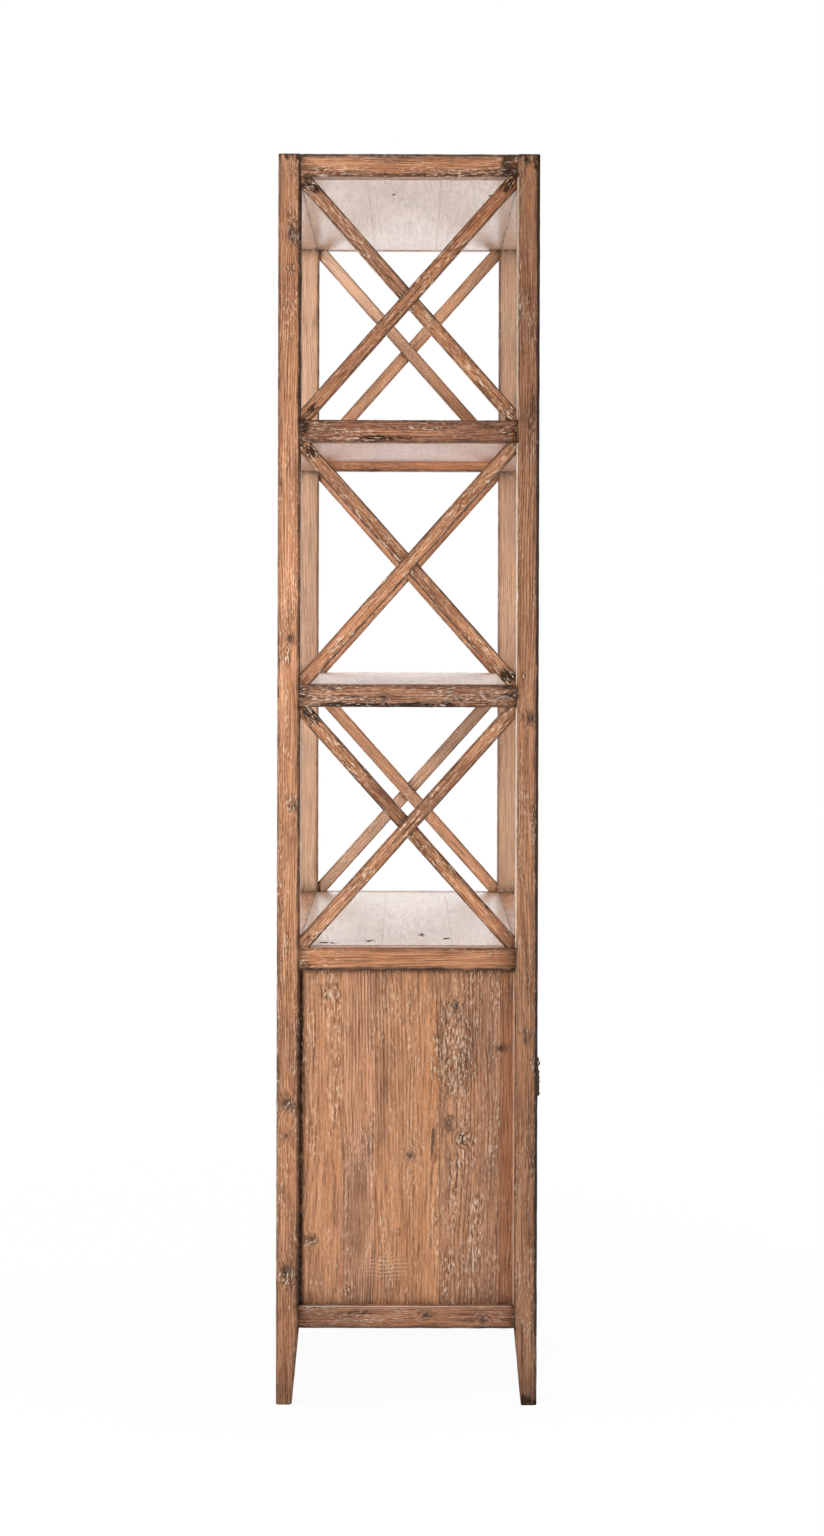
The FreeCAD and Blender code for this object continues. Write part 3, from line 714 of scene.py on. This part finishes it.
for number, (node, finish) in enumerate((("wall_end_left", end_wall), ("wall_end_right", plain_wall),
                                         ("wall_back", plain_wall))):
    low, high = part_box(node)
    bottom, top = LEVELS["cabinet_floor"] - IN_GROOVE, LEVELS["cabinet_top"] - RAIL_HIGH + IN_GROOVE
    middle = (low + high) / 2
    rng = np.random.default_rng(400 + number)
    if node == "wall_back":
        edges = seams(rng, -POST_IN_X - IN_GROOVE, POST_IN_X + IN_GROOVE, 0.8, 1.3, 9)
        spans = [(a, b, rng.uniform(0.84, 1.0), rng.uniform(0.4, 1.0), rng.uniform(0.3, 0.9),
                  (rng.uniform(-0.08, 0.08), rng.uniform(0.03, 0.09)))
                 for a, b in zip(edges[:-1], edges[1:])]
        half_thick, across = (high.y - low.y) / 2, (1, 0, 0)
    else:
        edge = POST_INNER_BACK + IN_GROOVE
        fill = (edge - POST_INNER_FRONT + IN_GROOVE) / sum(plank[0] for plank in wall_planks)
        spans = []
        for width, *look in wall_planks:
            spans.append((edge - width * fill, edge, *look))
            edge -= width * fill
        half_thick, across = (high.x - low.x) / 2, (0, 1, 0)
    sticks = []
    for plank, (a, b, tone, figure, lime, pith) in enumerate(spans):
        wide = (b - a) / 2 - WALL_SEAM
        start = ((a + b) / 2, middle.y, bottom) if node == "wall_back" else (middle.x, (a + b) / 2, bottom)
        stick = worn_bar(
            start, (0, 0, 1), across, top - bottom, (wide, half_thick),
            420 + 12 * number + plank, arris=0.00015, step=0.010, tone=tone, dents=0, wear=0.0002,
            joints=(top - bottom - IN_GROOVE,), stained=0.005, dirt_and_light=0.25, soak=0.0016, figure=figure,
            lime=lime, grooved=False, pith=pith)
        # The corner by the back post is darkened with dirt and the painted shadow of the post. By the front
        # one a painted highlight lies along the edge, and all the planks are darker just above the cabinet
        # floor.
        p = stick["points"]
        if node == "wall_back":
            nearest = POST_IN_X - np.abs(p[:, 0])
        else:
            nearest = POST_INNER_BACK - p[:, 1]
            pale = np.clip(1 - (p[:, 1] - POST_INNER_FRONT - 0.0004) / 0.0027, 0, 1)
            stick["arris"] = np.minimum(stick["arris"], -1.1 * pale)
        corner_darkening = 2.0 * np.exp(-np.maximum(nearest - 0.002, 0) / 0.0026)
        above = np.maximum(p[:, 2] - LEVELS["cabinet_floor"], 0)
        corner_darkening = np.maximum(corner_darkening, 0.45 * np.exp(-above / 0.015))
        stick["joint"] = np.maximum(stick["joint"], corner_darkening)
        sticks.append(stick)
    fit(timber_piece("planks_" + node, sticks, finish), "cabinet", node)

# Braces. Two square sticks cross in each open end, from corner to corner, halved where they meet,
# with the one that rises towards the front outermost. Their pointed ends fit the corners.

HALF_FACE, OVERRUN, TRIM = 0.0116, 0.025, 0.0006  # half a brace's width, spare length, ends sunk in
HALF_NOTCH, BRACE_MEETS = 0.0098, 0.024  # half a halving's width, where a brace reaches the frame
brace_marks = laid(  # where grime and lime have gathered in the corners of the end that shows
    0, -0.489, 0.03,
    stain=[(0.166, 1.950, 0.020, 0.014), (-0.140, 1.952, 0.014, 0.018), (0.168, 1.590, 0.012, 0.014),
           (0.166, 1.530, 0.020, 0.022), (-0.148, 1.168, 0.016, 0.016), (0.166, 1.106, 0.022, 0.020)],
    lime=[(0.168, 1.952, 0.012, 0.010), (-0.149, 1.959, 0.008, 0.010), (-0.146, 1.588, 0.010, 0.014),
          (0.160, 1.526, 0.014, 0.012), (-0.150, 1.166, 0.008, 0.010), (0.164, 1.110, 0.016, 0.010),
          (0.160, 0.754, 0.010, 0.012)],
    shade=[(-0.150, 0.746, 0.030, 0.030)])
brace_look = dict(ring=0.0028, patches=0.5, contrast=1.15, specks=(90.0, 330.0))
brace_finishes = {"left": old_pine("end_brace_pine", marks=brace_marks, **brace_look),
                  "right": old_pine("brace_pine", **brace_look)}
tiers = {"upper": ("upper_shelf", "top"), "middle": ("lower_shelf", "upper_shelf"),
         "lower": ("cabinet_top", "lower_shelf")}
brace_insides = {"upper_falling": ((1.26, 1.34, 1.36), 0.62), "upper_rising": ((1.20, 1.26, 1.24), 0.25),
                 "middle_falling": ((1.34, 1.36, 1.32), 0.15), "middle_rising": ((1.32, 1.34, 1.30), 0.12),
                 "lower_falling": ((1.38, 1.40, 1.36), 0.26), "lower_rising": ((1.18, 1.30, 1.36), 0.35)}
brace_fades = {  # two of them have darkened towards one end: the tints at the lower and the upper end
    "brace_left_upper_rising": ((1.0, 1.0, 1.0), (0.84, 0.75, 0.70)),
    "brace_right_upper_falling": ((0.74, 0.62, 0.56), (1.16, 1.20, 1.22))}


def trim(piece, z0, z1):
    """Cuts a brace off along the posts and rails that it ends in, and closes it again."""
    shape = bmesh.new()
    shape.from_mesh(piece.data)
    for place, normal in (((0, POST_INNER_FRONT - TRIM, 0), (0, -1, 0)),
                          ((0, POST_INNER_BACK + TRIM, 0), (0, 1, 0)),
                          ((0, 0, z0 - TRIM), (0, 0, -1)), ((0, 0, z1 + TRIM), (0, 0, 1))):
        bmesh.ops.bisect_plane(shape, geom=shape.verts[:] + shape.edges[:] + shape.faces[:],
                               plane_co=place, plane_no=normal, clear_outer=True)
        open_edges = [edge for edge in shape.edges if edge.is_boundary]
        if open_edges:
            bmesh.ops.holes_fill(shape, edges=open_edges)
    bmesh.ops.triangulate(shape, faces=[face for face in shape.faces if len(face.verts) > 4])
    shape.to_mesh(piece.data)
    shape.free()


def brace(side_name, side, number, tier, way):
    """One brace, from the corner where it starts to the one where it ends."""
    node = "brace_%s_%s_%s" % (side_name, tier, way)
    below, above = tiers[tier]
    z0, z1 = LEVELS[below], LEVELS[above] - RAIL_HIGH
    low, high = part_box(node)
    half = (high.x - low.x) / 2
    y0, y1 = (POST_INNER_BACK, POST_INNER_FRONT) if way == "rising" else (POST_INNER_FRONT, POST_INNER_BACK)
    first, last = Vector((0, y0, z0)), Vector((0, y1, z1))
    along = (last - first).normalized()
    length = (last - first).length + 2 * OVERRUN
    start = (first + last) / 2 - along * length / 2
    start.x = (low.x + high.x) / 2
    seed = 500 + 20 * number + 2 * (side > 0) + (way == "rising")
    stick = worn_bar(
        start, along, (1, 0, 0), length, (half, HALF_FACE), seed,
        arris=0.0024, step=0.006, joints=(BRACE_MEETS, length - BRACE_MEETS), stained=0.016,
        tone=(1.05 if side < 0 else 1.14) + 0.02 * (seed % 5), dents=6, wear=0.0003,
        figure=1.1, lime=0.95, grooved=False, soak=0.0011, dirt_and_light=1.0 if side < 0 else 0.6)
    # The halving: the hidden side of each brace is cut away where the other one passes.
    p = stick["points"]
    other = Vector((0, -along.y, along.z))
    middle = (first + last) / 2
    apart = np.abs((p[:, 1] - middle.y) * other.z - (p[:, 2] - middle.z) * other.y)
    outward = side * (p[:, 0] - start.x) * (1 if way == "rising" else -1)
    p[(apart < HALF_NOTCH) & (outward < 0), 0] = start.x
    # Grime lies round the halving, though not on the face that runs on over it.
    corner_darkening = np.where(outward > 0.004, 0.15, 0.9) * np.exp(-np.maximum(apart - 0.011, 0) / 0.006)
    stick["joint"] = np.maximum(stick["joint"], corner_darkening)
    paler_inside(stick, p[:, 0] - (low.x if side > 0 else high.x), *brace_insides[tier + "_" + way])
    if node in brace_fades:
        up = np.interp(p[:, 2], (z0, z1), (0.0, 1.0))[:, None]
        lower, upper = np.array(brace_fades[node])
        stick["tone"] = stick["tone"] * (lower + (upper - lower) * up)
        stick["bare_and_sheen"] = stick["bare_and_sheen"] * (0.25 + 0.75 * up[:, 0])
    piece = timber_piece("worn_" + node, [stick], brace_finishes[side_name])
    trim(piece, z0, z1)
    fit(piece, "cabinet", node)


for side_name, side in SIDES:
    for number, tier in enumerate(tiers):
        for way in ("rising", "falling"):
            brace(side_name, side, number, tier, way)

# Doors. Two framed leaves: a pivot stile with a rounded edge and its wooden pins, a meeting stile,
# two rails and a panel of upright planks set back in the frame.

PIN_RADIUS = 0.0049
PIVOT_SLACK = 0.0003  # the rounded edge stays this much inside the door's thickness
door_finish = old_pine("door_pine", ring=0.0050)
for side_name, side in SIDES:
    body = "door_" + side_name
    boxes = {part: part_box("%s_%s" % (body, part)) for part in
             ("pivot_stile", "meeting_stile", "lower_rail", "upper_rail", "panel")}
    low, high = boxes["meeting_stile"]
    z0, z1 = low.z, high.z
    centre_y, half_thick = (low.y + high.y) / 2, (high.y - low.y) / 2
    inner_meet = side * max(abs(low.x), abs(high.x))
    rail_high = boxes["lower_rail"][1].z - boxes["lower_rail"][0].z
    for part, seed in (("pivot_stile", 600), ("meeting_stile", 610)):
        low, high = boxes[part]
        wide = (high.x - low.x) / 2
        sticks = [worn_bar(
            ((low.x + high.x) / 2, centre_y, z0), (0, 0, 1), (1, 0, 0), z1 - z0,
            (wide, half_thick), seed + (side > 0), arris=0.0022,
            tone=0.98, joints=(rail_high, z1 - z0 - rail_high), stained=0.014, wear=0.0003)]
        if part == "pivot_stile":
            # The edge is round about the pins, so that the door turns in its rebate.
            p = sticks[0]["points"]
            pivot = high.x - half_thick if side > 0 else low.x + half_thick
            beyond = side * (p[:, 0] - pivot)
            span = np.hypot(beyond, p[:, 1] - centre_y)
            radius = half_thick - PIVOT_SLACK
            tight = np.where((beyond > 0) & (span > radius), radius / np.maximum(span, 1e-6), 1.0)
            p[:, 0] = np.where(beyond > 0, pivot + side * beyond * tight, p[:, 0])
            p[:, 1] = centre_y + (p[:, 1] - centre_y) * tight
            for bottom, top in ((low.z, z0 + 0.001), (z1 - 0.001, high.z)):
                sticks.append(worn_bar(
                    (pivot, centre_y, bottom), (0, 0, 1), (1, 0, 0), top - bottom,
                    (PIN_RADIUS, PIN_RADIUS), seed + 5,
                    arris=0.009, step=0.004, tone=0.9, dents=0, wear=0.0))
            inner_pivot = low.x if side > 0 else high.x
        dress("%s_%s" % (body, part), sticks, door_finish, body)
    x0, x1 = sorted((inner_pivot, inner_meet))
    for part, seed in (("lower_rail", 620), ("upper_rail", 630)):
        low, high = boxes[part]
        length = x1 - x0 + 2 * SUNK
        stick = worn_bar(
            (x0 - SUNK, centre_y, (low.z + high.z) / 2), (1, 0, 0), (0, 1, 0), length,
            (half_thick, rail_high / 2), seed + (side > 0),
            arris=0.0022, joints=(SUNK, length - SUNK), stained=0.014, tone=0.96, wear=0.0003)
        dress("%s_%s" % (body, part), [stick], door_finish, body)
    low, high = boxes["panel"]
    panel_half = (high.y - low.y) / 2
    bottom, top = z0 + rail_high - IN_GROOVE, z1 - rail_high + IN_GROOVE
    rng = np.random.default_rng(640 + (side > 0))
    edges = seams(rng, x0 - IN_GROOVE, x1 + IN_GROOVE, 0.75, 1.3, 4)
    sticks = []
    for plank, (a, b) in enumerate(zip(edges[:-1], edges[1:])):
        wide = (b - a) / 2 - PANEL_SEAM
        sticks.append(worn_bar(
            ((a + b) / 2, (low.y + high.y) / 2, bottom), (0, 0, 1), (1, 0, 0), top - bottom,
            (wide, panel_half), 650 + 5 * plank + (side > 0),
            arris=0.0009, step=0.010, tone=rng.uniform(0.90, 1.06), dents=2,
            joints=(IN_GROOVE, top - bottom - IN_GROOVE), stained=0.014,
            pith=(rng.uniform(-0.05, 0.05), rng.uniform(0.03, 0.09))))
    panel = timber_piece("planks_%s_panel" % body, sticks, plain_wall)
    fit(panel, body, body + "_panel")

# Pulls. Each door has a forged drop pull on its meeting stile: a hammered round plate, an eye
# whose shank goes through it into the wood, and a turned drop hanging from the eye.

PLATE, PLATE_THICK, NAIL_CIRCLE = 0.017, 0.0016, 0.0125  # radius, thickness, radius to its nails
NAIL_TURNS, NAIL_SEAT = (0.785, 2.356, 3.927, 5.498), 0.0014  # round the plate, and out of the door
PLATE_OUTLINE = (  # distance from the door, radius: a rolled rim and a dished middle
    (0.0, PLATE - 0.0001), (0.0006, PLATE), (0.0011, PLATE - 0.0003), (0.0015, PLATE - 0.0012),
    (0.0016, PLATE - 0.0030), (0.00135, PLATE - 0.0050), (0.0013, 0.0095), (0.0016, 0.0070),
    (0.0016, 0.0030))
BOSS_OUTLINE = ((-0.0002, 0.0049), (0.0003, 0.0050), (0.0010, 0.0043), (0.0018, 0.0031), (0.0027, 0.0022))
EYE_IN, SHANK_START, SHANK = 0.005, 0.0034, 0.0019
EYE_RADIUS, EYE_WIRE = 0.0037, 0.0013
RING, WIRE = 0.0052, 0.0018
DROP_LONG, DROP_RADIUS = 0.058, 0.005
DROP_OUTLINE = (  # share of the length below the pivot, share of the widest radius
    (0.175, 0.40), (0.195, 0.50), (0.215, 0.62), (0.240, 0.76), (0.265, 0.86), (0.290, 0.78),
    (0.320, 0.66), (0.355, 0.71), (0.400, 0.80), (0.435, 0.85), (0.470, 0.86), (0.500, 0.78),
    (0.520, 0.72), (0.540, 0.86), (0.560, 1.00), (0.580, 0.86), (0.600, 0.72), (0.640, 0.74),
    (0.680, 0.78), (0.735, 0.81), (0.790, 0.82), (0.825, 0.76), (0.850, 0.70), (0.880, 0.84),
    (0.910, 0.98), (0.940, 0.90), (0.965, 0.74), (0.985, 0.48), (0.997, 0.20))


def old_iron(name):
    """Blackened wrought iron: hammer flats, brown rust in the low places, rubbed where it is held."""
    finish, make, shader = new_finish(name)
    place = make.node("ShaderNodeTexCoord").outputs["Object"]
    broad = make.mottle(place, 210.0, 210.0, detail=3.0, rough=0.6)
    fine = make.mottle(place, 1500.0, 1500.0, detail=3.0, rough=0.7)
    colour = make.blend(make.between(broad, 0.35, 0.65), (0.030, 0.024, 0.021), (0.082, 0.064, 0.052))
    rust = make.times(make.between(broad, 0.55, 0.70), make.between(fine, 0.40, 0.62))
    colour = make.blend(make.times(rust, 0.55), colour, (0.150, 0.062, 0.026))
    make.put(colour, shader.inputs["Base Color"])
    make.put(make.maths("SUBTRACT", 0.85, make.times(rust, 0.7)), shader.inputs["Metallic"])
    make.put(make.plus(0.32, fine, 0.30), shader.inputs["Roughness"])
    make.bump(make.plus(fine, broad, 1.6), 0.0005, 0.5, shader)
    return finish


def square_to(axis):
    """Two directions that stand square to an axis and to each other."""
    side = np.cross(axis, (0.0, 0.0, 1.0) if abs(axis[2]) < 0.9 else (1.0, 0.0, 0.0))
    side /= np.linalg.norm(side)
    return side, np.cross(axis, side)


def turned(centre, axis, outline, count, hammer=0.0, seed=0):
    """Points and faces of a turned form: outline gives distances along the axis and radii."""
    rng = np.random.default_rng(seed)
    axis = np.array(axis, float)
    side, other = square_to(axis)
    turns = np.arange(count) * math.tau / count
    points = []
    for away, radius in outline:
        wobble = 1 - hammer * rng.uniform(0, 1, count)
        points += [np.array(centre) + axis * away + radius * w * (side * math.cos(t) + other * math.sin(t))
                   for t, w in zip(turns, wobble)]
    rows = len(outline)
    ends = [np.array(centre) + axis * outline[i][0] for i in (0, -1)]
    ahead = [(j + 1) % count for j in range(count)]
    faces = [(i * count + j, i * count + k, (i + 1) * count + k, (i + 1) * count + j)
             for i in range(rows - 1) for j, k in enumerate(ahead)]
    faces += [(rows * count, k, j) for j, k in enumerate(ahead)]
    top = (rows - 1) * count
    faces += [(rows * count + 1, top + j, top + k) for j, k in enumerate(ahead)]
    return points + ends, faces


def bent_ring(centre, axis, mean, wire, seed, hammer=0.08, rings=36, count=12):
    """Points and faces of a round ring of hammered wire about an axis."""
    rng = np.random.default_rng(seed)
    axis = np.array(axis, float)
    side, other = square_to(axis)
    points, faces = [], []
    for i in range(rings):
        t = i * math.tau / rings
        out = side * math.cos(t) + other * math.sin(t)
        thick = wire * (1 - hammer * rng.uniform())
        for j in range(count):
            u = j * math.tau / count
            points.append(np.array(centre) + out * (mean + thick * math.cos(u)) + axis * thick * math.sin(u))
            a, b = (i + 1) % rings, (j + 1) % count
            faces.append((i * count + j, a * count + j, a * count + b, i * count + b))
    return points, faces


def iron_piece(name, forms):
    """One object of several closed forms, with every face turned outwards."""
    mesh = bpy.data.meshes.new(name)
    points, faces = [], []
    for form_points, form_faces in forms:
        faces += [[i + len(points) for i in face] for face in form_faces]
        points += [tuple(p) for p in form_points]
    mesh.from_pydata(points, [], faces)
    shape = bmesh.new()
    shape.from_mesh(mesh)
    bmesh.ops.recalc_face_normals(shape, faces=shape.faces[:])
    shape.to_mesh(mesh)
    shape.free()
    return smooth_piece(name, mesh, iron)


iron = old_iron("black_iron")
outward = (0.0, -1.0, 0.0)
plate_nails = {}
for side_name, side in SIDES:
    body = "door_" + side_name
    pull = "pull_%s_" % side_name
    low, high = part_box(pull + "plate")
    centre_x, centre_z, door_face = (low.x + high.x) / 2, (low.z + high.z) / 2, high.y
    plate = turned((centre_x, door_face, centre_z), outward, PLATE_OUTLINE, 40, 0.02, 700 + side)
    fit(iron_piece("hammered_plate_" + side_name, [plate]), body, pull + "plate")
    plate_nails[body] = [
        (centre_x + NAIL_CIRCLE * math.cos(t), door_face - NAIL_SEAT, centre_z + NAIL_CIRCLE * math.sin(t))
        for t in NAIL_TURNS]

    low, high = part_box(pull + "eye")
    eye = (centre_x, low.y + EYE_IN, centre_z)
    shank_end = high.y - 0.0005 - eye[1] - SHANK_START
    shank = turned((centre_x, eye[1] + SHANK_START, centre_z), (0, 1, 0),
                   ((0.0, 0.0012), (0.0006, SHANK), (0.0030, 0.0020), (shank_end, SHANK)), 16)
    boss = turned((centre_x, door_face - PLATE_THICK, centre_z), outward, BOSS_OUTLINE, 20, 0.05, 710 + side)
    ring = bent_ring(eye, (1, 0, 0), EYE_RADIUS, EYE_WIRE, 720 + side)
    fit(iron_piece("forged_eye_" + side_name, [ring, shank, boss]), body, pull + "eye")

    low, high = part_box(pull + "drop")
    pivot_z = low.z + DROP_LONG
    ring = bent_ring((centre_x, eye[1], pivot_z - RING), (0, 1, 0), RING, WIRE, 730 + side)
    drop = turned((centre_x, eye[1], pivot_z), (0, 0, -1),
                  [(DROP_LONG * a, DROP_RADIUS * w) for a, w in DROP_OUTLINE], 20, 0.05, 740 + side)
    fit(iron_piece("turned_drop_" + side_name, [ring, drop]), "drop_" + side_name, pull + "drop")

# Nails. Small hand-made nails with hammered heads: four hold each pull plate, and one stray nail
# is left in the back post at the near end.


def nail_tree():
    """Sets a low hammered head on each point, facing along the point's own direction."""
    tree = bpy.data.node_groups.new("nail_heads", "GeometryNodeTree")
    make = Recipe(tree)
    for name, kind, value in (("Points", "Geometry", None), ("Radius", "Float", 0.0025),
                              ("Height", "Float", 0.0010), ("Unevenness", "Float", 0.25),
                              ("Seed", "Int", 1), ("Finish", "Material", None)):
        socket = tree.interface.new_socket(name, in_out="INPUT", socket_type="NodeSocket" + kind)
        if value:
            socket.default_value = value
    tree.interface.new_socket("Nails", in_out="OUTPUT", socket_type="NodeSocketGeometry")
    given = make.node("NodeGroupInput").outputs
    ball = make.node("GeometryNodeMeshUVSphere", 12, 8, given["Radius"])
    flat = make.node("ShaderNodeCombineXYZ", 1.0, 1.0, make.maths("DIVIDE", given["Height"], given["Radius"]))
    head = make.node("GeometryNodeTransform", ball.outputs[0], None, None, flat.outputs[0])
    facing = make.node("GeometryNodeInputNamedAttribute", "facing", data_type="FLOAT_VECTOR")
    turn = make.node("FunctionNodeAlignRotationToVector", None, None, facing.outputs[0], axis="Z")
    smallest = make.maths("SUBTRACT", 1.0, given["Unevenness"])
    uneven = make.node("FunctionNodeRandomValue", None, None, smallest, 1.0)
    make.put(given["Seed"], uneven.inputs["Seed"])
    set_out = make.node("GeometryNodeInstanceOnPoints", given["Points"], None, head.outputs[0], None,
                        None, turn.outputs[0], uneven.outputs[1])
    real = make.node("GeometryNodeRealizeInstances", set_out.outputs[0])
    smooth = make.node("GeometryNodeSetShadeSmooth", real.outputs[0])
    black = make.node("GeometryNodeSetMaterial", smooth.outputs[0], None, given["Finish"])
    make.node("NodeGroupOutput", black.outputs[0])
    return tree


def nails(name, body, places, facing, radius, height):
    """Nail heads at places that all face one way, as one plain mesh."""
    mesh = bpy.data.meshes.new(name + "_points")
    mesh.from_pydata(places, [], [])
    layer = mesh.attributes.new("facing", "FLOAT_VECTOR", "POINT")
    layer.data.foreach_set("vector", facing * len(places))
    carrier = placed(name + "_points", mesh)
    maker = carrier.modifiers.new("nails", "NODES")
    maker.node_group = NAIL_HEADS
    wanted = {"Radius": radius, "Height": height, "Seed": len(places) + 3, "Finish": iron}
    for item in NAIL_HEADS.interface.items_tree:
        if item.name in wanted:
            maker[item.identifier] = wanted[item.name]
    carrier.update_tag()
    ready = carrier.evaluated_get(bpy.context.evaluated_depsgraph_get())
    plain = bpy.data.meshes.new_from_object(ready)
    plain.name = name
    bpy.data.objects.remove(carrier)
    piece = placed(name, plain)
    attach(piece, body)


NAIL_HEADS = nail_tree()
for body, places in plate_nails.items():
    nails("plate_nails_" + body[5:], body, places, (0, -1, 0), 0.0016, 0.0009)
# One nail, driven nearly flush, in the outer face of the back post beside the cabinet's top.
post_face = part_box("post_back_left")[0].x
nails("post_nail", "cabinet", [(post_face + 0.0004, 0.2139, 0.7115)], (-1, 0, 0), 0.0030, 0.0005)

# Studio. A pale floor under soft light that comes mostly from the back of the bookcase, which is
# the left of the picture, with the white room mirrored in the wax.

WIDE_FLOOR = 40
ground = bpy.data.meshes.new("ground")
ground.from_pydata([(-WIDE_FLOOR, -WIDE_FLOOR, 0), (WIDE_FLOOR, -WIDE_FLOOR, 0),
                    (WIDE_FLOOR, WIDE_FLOOR, 0), (-WIDE_FLOOR, WIDE_FLOOR, 0)], [], [(0, 1, 2, 3)])
floor = placed("ground", ground)
pale_floor, make, shader = new_finish("pale_floor")
shader.inputs["Base Color"].default_value = (0.88, 0.88, 0.88, 1)
shader.inputs["Roughness"].default_value = 0.9
shader.inputs["Specular IOR Level"].default_value = 0.1
# The camera and the wax see a floor that turns white a little way off; light falls on a matt one.
rays = make.node("ShaderNodeLightPath").outputs
seen = make.most(rays["Is Camera Ray"], rays["Is Glossy Ray"])
away = make.vector("LENGTH", make.node("ShaderNodeTexCoord").outputs["Object"], output="Value")
wash = make.between(away, 0.6, 2.2, 0.94, 1.0)
glow = make.node("ShaderNodeEmission").outputs[0]
both = make.node("ShaderNodeMixShader", make.times(seen, wash), shader.outputs[0], glow)
make.put(both.outputs[0], pale_floor.node_tree.nodes["Material Output"].inputs["Surface"])
ground.materials.append(pale_floor)

world = bpy.data.worlds.new("white_room")
bpy.context.scene.world = world
world.use_nodes = True
make = Recipe(world.node_tree)
white = world.node_tree.nodes["Background"]
soft = make.node("ShaderNodeBackground")
for background, strength in ((white, 1.0), (soft, 0.20)):
    background.inputs["Color"].default_value = (1, 1, 1, 1)
    background.inputs["Strength"].default_value = strength
rays = make.node("ShaderNodeLightPath").outputs
seen = make.most(rays["Is Camera Ray"], rays["Is Glossy Ray"])
seen = make.most(seen, rays["Is Transmission Ray"])
both = make.node("ShaderNodeMixShader", seen, soft.outputs[0], white.outputs[0])
make.put(both.outputs[0], world.node_tree.nodes["World Output"].inputs["Surface"])


def lamp(name, place, aim, wide, high, power, mirrored=True):
    """A soft rectangular light; mirrored says whether the wax shows it."""
    light = bpy.data.lights.new(name, "AREA")
    light.shape, light.size, light.size_y, light.energy = "RECTANGLE", wide, high, power
    holder = placed(name, light)
    holder.location = place
    holder.visible_glossy = mirrored
    holder.rotation_euler = (Vector(aim) - Vector(place)).to_track_quat("-Z", "Y").to_euler()


lamp("key", (-2.18, 1.35, 1.50), (-0.4, 0.0, 1.1), 0.9, 1.5, 42.0)
lamp("from_the_back", (-0.3, 3.3, 1.6), (0.0, 0.0, 1.0), 1.6, 2.2, 36.0, mirrored=False)
lamp("from_the_front", (1.1, -3.3, 2.0), (0.0, 0.0, 0.9), 1.8, 2.2, 92.0, mirrored=False)
lamp("from_the_far_end", (5.2, -0.6, 2.0), (0.0, 0.0, 1.0), 4.0, 4.0, 52.0)
lamp("above", (0.0, 0.2, 8.0), (0.0, 0.0, 0.0), 5.0, 5.0, 290.0)

# The camera stands 4.8 m from the near end, a little above the middle, and looks almost level.
CAMERA_PLACE, LOOK_DOWN, ROLL = (-5.30, 0.0119, 1.265), 0.62, 0.15
camera = bpy.data.cameras.new("camera")
camera.sensor_width, camera.lens = 36.0, 70.476
camera.shift_x, camera.shift_y = 0.00228, -0.0785
holder = placed("camera", camera)
turn = Matrix.Rotation(math.radians(-90), 4, "Z")
turn = turn @ Matrix.Rotation(math.radians(90 - LOOK_DOWN), 4, "X")
turn = turn @ Matrix.Rotation(math.radians(ROLL), 4, "Z")
holder.matrix_world = Matrix.Translation(CAMERA_PLACE) @ turn
bpy.context.scene.camera = holder
bpy.context.scene.view_settings.view_transform = "Standard"
